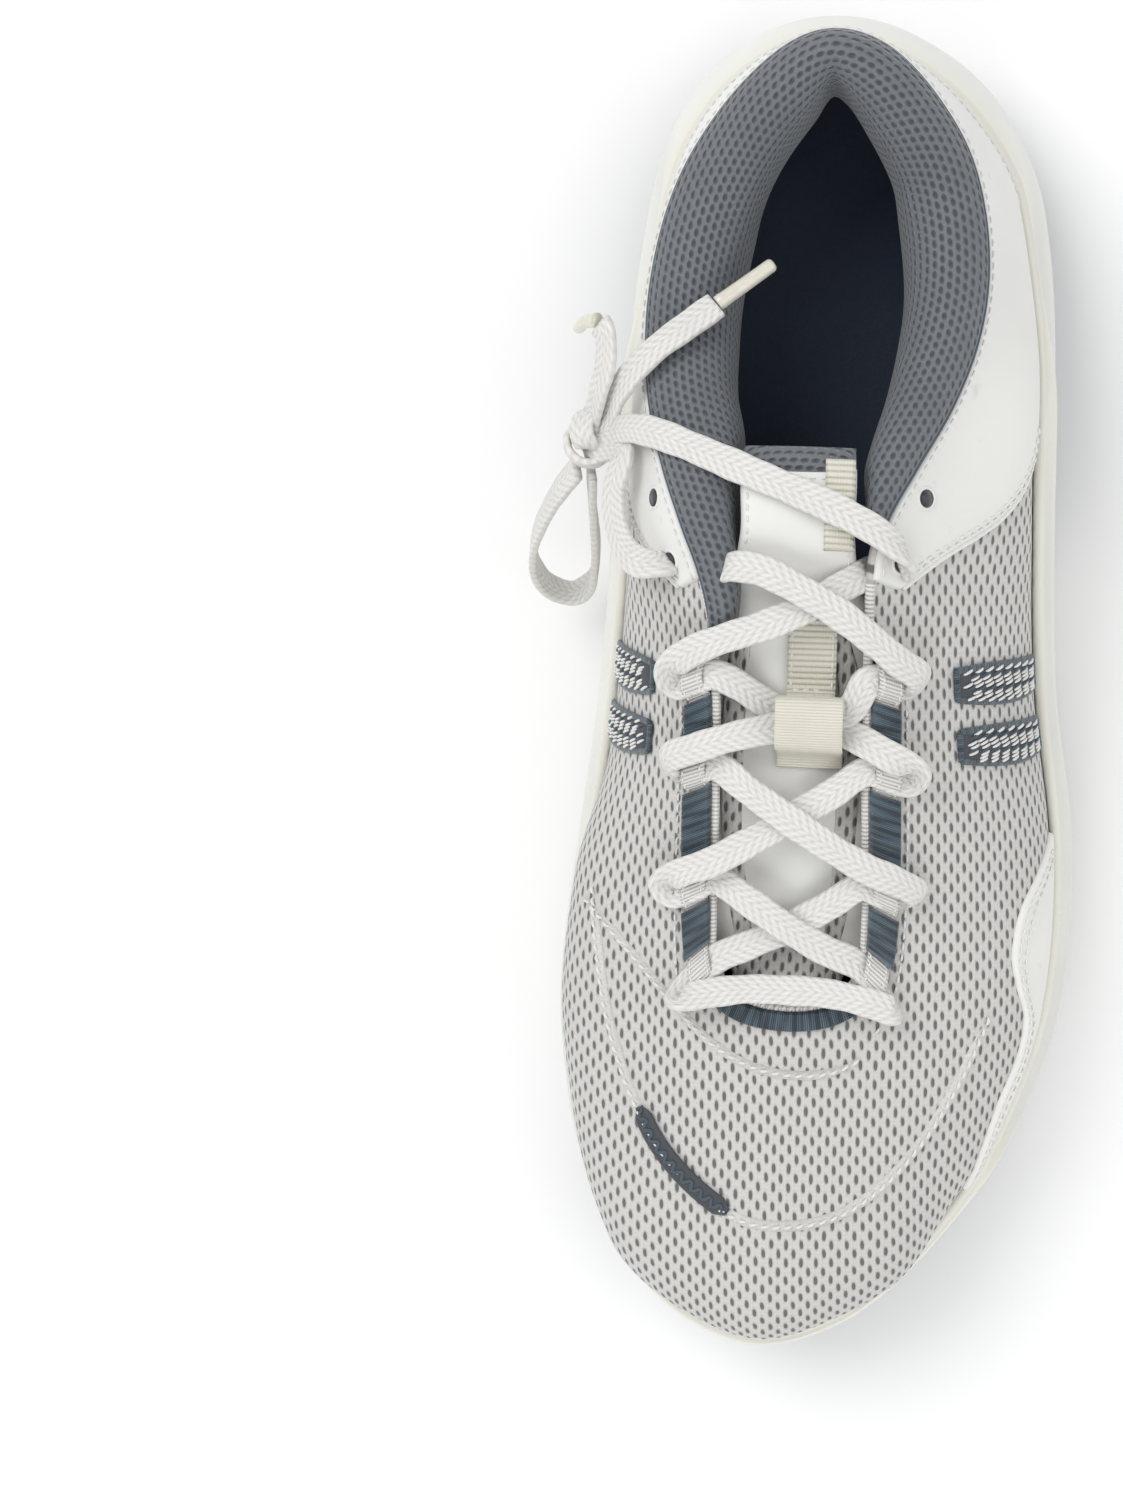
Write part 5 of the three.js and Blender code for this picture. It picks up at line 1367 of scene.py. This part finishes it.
def build_eyestay():
    for side, outer in (("outer", True), ("inner", False)):
        build_tape(side, outer)
        for number, (start, end) in enumerate(SATIN_SPANS, 1):
            stations = np.linspace(start, end, 34)[:, None]
            shares = np.linspace(0, 1, 22)[None]
            edge = 0.4 + shares * SATIN_WIDTH
            bulge = 0.25 + 0.85 * border(34)[:, None] * border(22)[None]
            bulge = bulge + 0.10 * np.sin(stations * 2 * math.pi / 0.95) * border(22)[None]
            top = eyestay_point(stations, outer, edge, 1.4 + bulge)
            low = eyestay_point(stations, outer, edge, 1.15)
            uv = flat_uv((shares - 0.5) * SATIN_WIDTH, along_path(top[:, 10])[:, None])
            bar = shell(f"satin_bar_{side}_{number}_thread", top, low, uv)
            dress(bar, "satin", replaces=[f"satin_bar_{side}_{number}"])
        span = np.linspace(0.475, 0.85, 240)
        keys = span if outer else 2 - span
        top = upper_point(keys, 1.0)
        lay(f"throat_binding_{side}", (top, from_last(top)), 0.8, 2.0, 1.9, "tape", 12)
        line = upper_offset(keys[30:], 0.80 if outer else 0.78, 0.15)
        sew(f"eyestay_stitch_{side}", (line, upper_normal(keys[30:], 0.79)), (2.4, 1.8, 0.6, 0.15))
    keys = np.linspace(0.85, 1.15, 130)
    steps = np.linspace(1, 0.6, 160)
    lines = upper_point(keys[:, None], steps[None])
    gaps = np.linalg.norm(lines - lines[:, :1], axis=-1)
    shares = np.linspace(0, 1, 18)
    v = np.stack([np.interp(1 + shares * ARCH_WIDTH, gap, steps) for gap in gaps])
    base, normals = surface(keys[:, None], v)
    bulge = 0.3 + 0.9 * border(130)[:, None] * border(18)[None]
    uv = flat_uv((shares[None] - 0.5) * ARCH_WIDTH, along_path(base[:, 9])[:, None])
    arch = shell("throat_arch_thread", base + normals * (0.2 + bulge)[..., None], base + normals * 0.05, uv)
    dress(arch, "satin", replaces=["throat_arch"])
    edge = upper_point(np.linspace(0.85, 1.15, 200), 1.0)
    lay("throat_roll", (edge, facing_up(edge)), 0.8, 2.1, 1.9, "tape", 12)
    coil = edge[45:155] + [0, 0, 0.6]
    sew("throat_coil", (coil, facing_up(coil)), (1.5, 1.25, 1.5, 0.25, 0.5))


# ------------------------------------------------------------------------------ tongue
def tongue_grid(stations, shares, lift=0.0):
    x, height = tongue_height(stations[:, None], shares[None])
    return at(x, np.broadcast_to(stations[:, None], x.shape), height + lift)


def tongue_strip(name, along, across, base, rise, under):
    """A thin strip on the tongue; along and across are its start, end and count of points."""
    stations, shares = np.linspace(*along), np.linspace(*across)
    edge = border(across[2])[None] * border(along[2])[:, None]
    top = tongue_grid(stations, shares, base + rise * edge)
    return shell(name, top, tongue_grid(stations, shares, under), flat_uv(top[..., 0], stations[:, None]))


def build_tongue():
    """The padded grey body of the tongue, its smooth skin, edge strips and seams."""
    stations = np.concatenate([104 + 4.5 * (1 - np.cos(np.linspace(0, math.pi / 2, 12)))[:-1],
                               np.linspace(108.5, 206.5, 120)])
    angle = np.linspace(0, 2 * math.pi, 56, endpoint=False)
    share = np.sign(np.cos(angle)) * np.abs(np.cos(angle)) ** 0.75
    up = np.sign(np.sin(angle)) * np.abs(np.sin(angle)) ** 0.7
    x, height = tongue_height(stations[:, None], share[None] * 0.97)
    nose = np.sqrt(np.clip(1 - ((108.6 - stations) / 4.7) ** 2, 0.02, 1))
    nose = np.where(stations > 108.6, 1, nose)[:, None]
    swell = 1 + 0.12 * np.sin(np.clip((stations - 104) / 20, 0, 1) * math.pi)[:, None]
    body = np.where(stations[:, None] < 112, smooth(112, 107, stations)[:, None], 0)
    thick = (2.9 + 0.5 * body) * nose * swell
    rings = at(x, np.broadcast_to(stations[:, None], x.shape), height - 3.9 + 0.4 * body + thick * up[None])
    across = np.broadcast_to(x, x.shape)
    uv = flat_uv(across, stations[:, None] + 3 * up[None])
    pad = loft("tongue_padding", rings, uv)
    dress(pad, "airmesh", "tongue_fold",
          ["tongue_foam", "tongue_lining", "tongue_top"])
    stations = np.linspace(108.3, 207, 150)
    shares = np.linspace(-1, 1, 44) * 0.985
    roll = 1.2 * smooth(109.8, 108.3, stations)[:, None] + 1.1 * smooth(0.92, 0.985, np.abs(shares))[None]
    puff = 0.35 * np.cos(shares * math.pi / 2)[None] * np.sin(stations * 0.11)[:, None] \
        * smooth(206, 190, stations)[:, None] * smooth(126, 138, stations)[:, None]
    top = tongue_grid(stations, shares, -roll + puff)
    low = tongue_grid(stations, shares, -1.5 - roll * 0.3)
    uv = flat_uv(top[..., 0], stations[:, None])
    skin = shell("tongue_skin", top, low, uv)
    dress(skin, "film", "tongue_fold", ["tongue_shell"])
    stations = np.linspace(111, 134, 70)
    rows = {"outer": tongue_grid(stations, np.array([0.86]))[:, 0],
            "inner": tongue_grid(stations, np.array([-0.86]))[:, 0],
            "top": tongue_grid(np.array([110.6]), np.linspace(-0.82, 0.55, 60), -0.1)[0]}
    for name, line in rows.items():
        sew(f"tongue_stitch_{name}", (line, facing_up(line)), (2.3, 1.7, 0.5, 0.1),
            "tongue_fold")
    dress(tongue_strip("tongue_edge_tape", (106.6, 124.8, 60), (0.46, 0.97, 14), 0.15, 0.95, -0.9), "keeper",
          "tongue_fold")
    for side, low, high in (("outer", 0.40, 0.60), ("inner", -0.60, -0.40)):
        strip = tongue_strip(f"gusset_strip_{side}", (141, 206, 90), (low, high, 12), 0.05, 0.55, -0.8)
        dress(strip, "knit", "tongue")


def build_throat_gusset():
    """The knit under the throat's front edge, which closes the gap before the tongue."""
    stations = np.linspace(198, 227, 40)
    shares = np.linspace(-1, 1, 40)
    x = -3 + shares[None] * (16.5 - 0.3 * (stations - 198))[:, None]
    height = THROAT_HEIGHT.one(np.minimum(stations, 219.7)) - 3.4 - 0.30 * np.maximum(stations - 219, 0)
    height = height[:, None] - 2.6 * shares[None] ** 2
    under = np.where(stations[:, None] < 208, -2.2 * smooth(208, 203, stations)[:, None], 0)
    top = at(x, np.broadcast_to(stations[:, None], x.shape), height + under)
    uv = flat_uv(x, stations[:, None])
    piece = shell("throat_gusset", top, top - [0, 0, 0.8], uv)
    dress(piece, "knit")


KEEPER_LINE = [(138, 0), (146, 0), (152.6, 0), (154.2, 2.2), (155.2, 8.7), (164, 8.7), (165.2, 2.2),
               (166, 0), (168.5, 0)]


def build_keeper():
    """The ribbed loop sewn to the tongue, through which the laces pass."""
    rows = np.array(KEEPER_LINE, float)
    middle = THROAT_HEIGHT.one(rows[:, 0]) - TONGUE(rows[:, 0])[:, 2]
    line = at(0.5, rows[:, 0], middle + CLEARANCE + 0.5 + rows[:, 1])
    line = resample(catmull(line, np.linspace(0, 1, 260)), 0.4)
    facing = -np.cross(unit(np.gradient(line, axis=0)), np.tile([1.0, 0, 0], (len(line), 1)))
    if facing[len(facing) // 2, 2] < 0:
        facing = -facing
    share = along_path(line) / along_path(line)[-1]
    upper, lower = share < 0.47, share > 0.40
    patch = sweep("keeper_patch", line[upper] + facing[upper] * 0.12, facing[upper],
                  flat_section(10, 1.1, 0.2, 36))
    dress(patch, "keeper", "tongue")
    band = sweep("keeper_band", line[lower], facing[lower], flat_section(13.8, 1.0, 0.2, 40))
    dress(band, "keeper_smooth", "tongue", ["lace_keeper"])
    flat = line[(line[:, 1] < HALF_LENGTH - 138.6) & (line[:, 1] > HALF_LENGTH - 152.8)]
    sides = [np.stack([np.full(len(flat), x), flat[:, 1], flat[:, 2] + 0.45], -1) for x in (-3.7, 4.7)]
    ends = [np.stack([np.linspace(-3.7, 4.7, 30), np.full(30, y), np.full(30, z + 0.5)], -1)
            for _, y, z in flat[[0, -1]]]
    for number, row in enumerate(sides + ends, 1):
        sew(f"keeper_stitch_{number}", (row, facing_up(row)), (2.1, 1.6, 0.6, 0.15), "tongue")


# ------------------------------------------------------------------------------ laces
def lace_piece(name, rows, laces, replaces):
    points = resample(route_points(rows), 0.7)
    core = np.stack([np.full(len(points), THROAT_CENTRE), points[:, 1], np.full(len(points), 30.0)], -1)
    section = flat_section(laces.width / MM, laces.thickness / MM, 0.3, 22)
    run = along_path(points)
    worn = 1 + 0.03 * np.sin(run * 0.31) + 0.02 * np.sin(run * 0.83 + 1)
    piece = sweep(name, points, lace_facing(points, core), section, worn)
    return dress(piece, "lace", replaces=replaces), points


def free_run(name, rows, laces, replaces):
    """A free length of the lace along its own path."""
    piece, points = lace_piece(name, rows, laces, replaces)
    tuple(points[0] * MM)
    [tuple(p) for p in points * MM]


def build_laces(laces):
    lace_piece("lace_rows", LACED_ROUTE, laces, ["lace_laced"])
    knot = build_knot(laces)
    over, out = build_aglet("over", AGLET_OVER_ROUTE), build_aglet("out", AGLET_OUT_ROUTE)
    through = [(-46.6, 99.6, 65.4), (-48.4, 99.4, 63.6), (-47.2, 98, 64.6)]
    free_run("lace_run_over", OUTER_END_ROUTE + through + TAIL_OVER_ROUTE, laces,
             ["lace_end_outer", "lace_tail_over"])
    through = [(-46.6, 102.4, 65.4), (-49.2, 100.4, 63.4), (-49, 97.4, 64.8)]
    free_run("lace_run_out", INNER_END_ROUTE + through + TAIL_OUT_ROUTE, laces,
             ["lace_end_inner", "lace_tail_out"])
    free_run("lace_loop", BOW_ROUTE, laces, ["lace_bow"])


def build_knot(laces):
    """A flat lace pulled into a tight overhand knot."""
    turn = np.linspace(0, 2 * math.pi, 240, endpoint=False)
    radius = 3.7 + 2.1 * np.cos(3 * turn)
    local = np.stack([radius * np.cos(2 * turn), radius * np.sin(2 * turn) * 0.95, 2.9 * np.sin(3 * turn)], -1)
    tilt = np.array(Matrix.Rotation(math.radians(38), 3, "Y") @ Matrix.Rotation(math.radians(20), 3, "X"))
    local = local @ tilt.T
    points = local + at(*KNOT_PLACE)
    facing = unit(local + 1e-6)
    points = np.vstack([points, points[:1]])
    facing = np.vstack([facing, facing[:1]])
    section = flat_section(laces.width / MM * 0.86, laces.thickness / MM, 0.35, 20)
    piece = sweep("lace_knot_turns", points, facing, section)
    return dress(piece, "lace", replaces=["lace_knot"])


def build_aglet(name, rows):
    points = resample(route_points(rows), 0.4)
    share = np.linspace(0, 1, len(points))
    scale = 1 - 0.1 * share + 0.04 * (np.abs(share - 0.06) < 0.03) - 0.25 * smooth(0.96, 1, share)
    facing = np.tile([0.2, 0.3, 1.0], (len(points), 1))
    piece = sweep(f"lace_aglet_{name}", points, facing, round_section(3.3, 3.0, 24), scale)
    return dress(piece, "aglet", replaces=[f"aglet_{name}"])


# ------------------------------------------------------------------------------ stage
CAMERA_PLACE = Vector((0.0185, -0.018, 0.600))
CAMERA_TARGET = Vector((-0.0574, -0.018, 0.025))
CAMERA_UP = Vector((-0.0418, 0.9991, 0))


def build_stage():
    """Camera, a pale floor and soft studio lights."""
    scene = bpy.context.scene
    data = bpy.data.cameras.new("shoe_camera")
    data.sensor_fit, data.sensor_height, data.lens = "VERTICAL", 36.0, 61.0
    data.clip_start, data.clip_end = 0.01, 40.0
    camera = bpy.data.objects.new("shoe_camera", data)
    scene.collection.objects.link(camera)
    back = (CAMERA_PLACE - CAMERA_TARGET).normalized()
    right = CAMERA_UP.cross(back).normalized()
    rotation = Matrix((right, back.cross(right), back)).transposed()
    camera.matrix_world = Matrix.Translation(CAMERA_PLACE) @ rotation.to_4x4()
    scene.camera = camera
    angle = np.linspace(0, 2 * math.pi, 96, endpoint=False)
    profile = ((20, -0.1), (1000, -0.1), (2600, -0.1), (3400, 40), (3800, 260), (3900, 700))
    rings = np.stack([np.stack([np.cos(angle) * radius, np.sin(angle) * radius, np.full(96, float(height))], -1)
                      for radius, height in profile])
    faces = quads(len(rings), 96, wrap_columns=True)
    floor = make_object("studio_floor", rings.reshape(-1, 3), [faces, np.arange(96)[None]])
    floor.data.materials.append(material("floor"))
    lights = (("key_light", (-0.9, 0.7, 1.5), 1.3, 15), ("fill_light", (1.2, -0.2, 1.3), 1.6, 6.5),
              ("toe_light", (-0.1, -1.4, 1.0), 1.2, 6))
    for name, place, size, power in lights:
        lamp = bpy.data.lights.new(name, "AREA")
        lamp.shape, lamp.size, lamp.energy = "DISK", size, power
        light = bpy.data.objects.new(name, lamp)
        light.location = place
        light.rotation_euler = (-Vector(place)).to_track_quat("-Z", "Y").to_euler()
        scene.collection.objects.link(light)
    world = bpy.data.worlds.new("studio_world")
    world.use_nodes = True
    background = world.node_tree.nodes["Background"].inputs
    background["Color"].default_value = (0.97, 0.98, 1.0, 1)
    background["Strength"].default_value = 0.66
    scene.world = world
    scene.view_settings.view_transform = "Standard"


# ------------------------------------------------------------------------------ settings and operators
def color_property(name, description, default):
    return FloatVectorProperty(name=name, description=description, default=default, size=3, min=0, max=1,
                               subtype="COLOR")


def length_property(name, description, default, low, high):
    return FloatProperty(name=name, description=description, default=default, min=low, max=high,
                         unit="LENGTH", subtype="DISTANCE", precision=5)


class ShoeLook(bpy.types.PropertyGroup):
    """Colours and weaves of the shoe's materials."""

    mesh_color: color_property("Mesh", "Colour of the perforated knit", (0.61, 0.6, 0.575))
    overlay_color: color_property("Overlays", "Colour of the smooth coated layers", (0.77, 0.765, 0.735))
    lining_color: color_property("Lining", "Colour of the collar and tongue lining", (0.137, 0.15, 0.166))
    satin_color: color_property("Satin stitch", "Colour of the embroidered bars", (0.053, 0.08, 0.1))
    foam_color: color_property("Foam", "Colour of the moulded sole", (0.76, 0.76, 0.715))
    rubber_color: color_property("Rubber", "Colour of the treads", (0.115, 0.12, 0.13))
    lace_color: color_property("Laces", "Colour of laces and eyestay tape", (0.75, 0.735, 0.70))
    keeper_color: color_property("Keeper", "Colour of the lace keeper and the tongue's tape",
                                 (0.70, 0.675, 0.575))
    sock_color: color_property("Sockliner", "Colour of the textile on the foot bed", (0.02, 0.03, 0.055))
    hole_pitch: length_property("Hole pitch", "Distance between columns of holes in the knit",
                                0.0032, 0.001, 0.01)
    airmesh_pitch: length_property("Lining pitch", "Distance between eyes of the lining", 0.0022, 0.001, 0.01)
    lace_weave: length_property("Lace weave", "Length of one chevron of the lace", 0.0022, 0.0005, 0.01)


class ShoeLaces(bpy.types.PropertyGroup):
    """Size of the flat lace."""

    width: length_property("Width", "Width of the flat lace", 0.0063, 0.003, 0.01)
    thickness: length_property("Thickness", "Thickness of the flat lace", 0.0018, 0.0005, 0.003)


class SHOE_OT_stage(bpy.types.Operator):
    """Sets up the camera, the floor and the lights"""

    bl_idname = "shoe.stage"
    bl_label = "Stage"

    def execute(self, context):
        build_stage()
        return {"FINISHED"}


class SHOE_OT_laces(bpy.types.Operator):
    """Lays the flat lace through the eyestay and ties it"""

    bl_idname = "shoe.laces"
    bl_label = "Laces"

    def execute(self, context):
        build_laces(context.scene.shoe_laces)
        return {"FINISHED"}


class SHOE_OT_sole(bpy.types.Operator):
    """Moulds the foam sole and its rubber treads"""

    bl_idname = "shoe.sole"
    bl_label = "Sole"

    def execute(self, context):
        build_midsole()
        build_outsole()
        return {"FINISHED"}


class SHOE_OT_upper(bpy.types.Operator):
    """Makes the perforated knit of the vamp and the heel"""

    bl_idname = "shoe.upper"
    bl_label = "Knit upper"

    def execute(self, context):
        build_vamp()
        build_heel_knit()
        return {"FINISHED"}


class SHOE_OT_overlays(bpy.types.Operator):
    """Adds the smooth layers with their piping, stitching and punched holes"""

    bl_idname = "shoe.overlays"
    bl_label = "Overlays"

    def execute(self, context):
        build_overlays()
        return {"FINISHED"}


class SHOE_OT_emblem(bpy.types.Operator):
    """Embroiders the slanted bars on both sides"""

    bl_idname = "shoe.emblem"
    bl_label = "Embroidered bars"

    def execute(self, context):
        build_emblem()
        return {"FINISHED"}


class SHOE_OT_seams(bpy.types.Operator):
    """Sews the seams over the toe"""

    bl_idname = "shoe.seams"
    bl_label = "Toe seams"

    def execute(self, context):
        build_seams(Drape())
        return {"FINISHED"}


class SHOE_OT_eyestay(bpy.types.Operator):
    """Makes the eyestay: ribbed tape, satin bars and the bound throat"""

    bl_idname = "shoe.eyestay"
    bl_label = "Eyestay"

    def execute(self, context):
        build_eyestay()
        return {"FINISHED"}


class SHOE_OT_collar(bpy.types.Operator):
    """Pads the collar"""

    bl_idname = "shoe.collar"
    bl_label = "Collar"

    def execute(self, context):
        build_collar()
        return {"FINISHED"}


class SHOE_OT_tongue(bpy.types.Operator):
    """Makes the padded tongue and its lace keeper"""

    bl_idname = "shoe.tongue"
    bl_label = "Tongue"

    def execute(self, context):
        build_tongue()
        build_keeper()
        build_throat_gusset()
        return {"FINISHED"}


class SHOE_OT_inner(bpy.types.Operator):
    """Finishes the foot bed and the stiffeners"""

    bl_idname = "shoe.inner"
    bl_label = "Foot bed"

    def execute(self, context):
        build_inner()
        return {"FINISHED"}


STEPS = (SHOE_OT_stage, SHOE_OT_laces, SHOE_OT_sole, SHOE_OT_upper, SHOE_OT_overlays, SHOE_OT_emblem,
         SHOE_OT_seams, SHOE_OT_eyestay, SHOE_OT_collar, SHOE_OT_tongue, SHOE_OT_inner)


class SHOE_PT_panel(bpy.types.Panel):
    """Lists the steps and the settings"""

    bl_idname = "SHOE_PT_panel"
    bl_label = "Court shoe"
    bl_space_type = "VIEW_3D"
    bl_region_type = "UI"
    bl_category = "Shoe"

    def draw(self, context):
        for group in (context.scene.shoe_look, context.scene.shoe_laces):
            for name in group.__annotations__:
                self.layout.prop(group, name)
        for step in STEPS:
            self.layout.operator(step.bl_idname)


CLASSES = (ShoeLook, ShoeLaces, *STEPS, SHOE_PT_panel)


def register():
    for made in CLASSES:
        bpy.utils.register_class(made)
    bpy.types.Scene.shoe_look = PointerProperty(type=ShoeLook)
    bpy.types.Scene.shoe_laces = PointerProperty(type=ShoeLaces)


def unregister():
    del bpy.types.Scene.shoe_laces
    del bpy.types.Scene.shoe_look
    for made in reversed(CLASSES):
        bpy.utils.unregister_class(made)


def main():
    register()
    for step in STEPS:
        group, name = step.bl_idname.split(".")
        if getattr(getattr(bpy.ops, group), name)() != {"FINISHED"}:
            raise RuntimeError(f"{step.bl_label} was not finished")


if __name__ == "__main__":
    main()
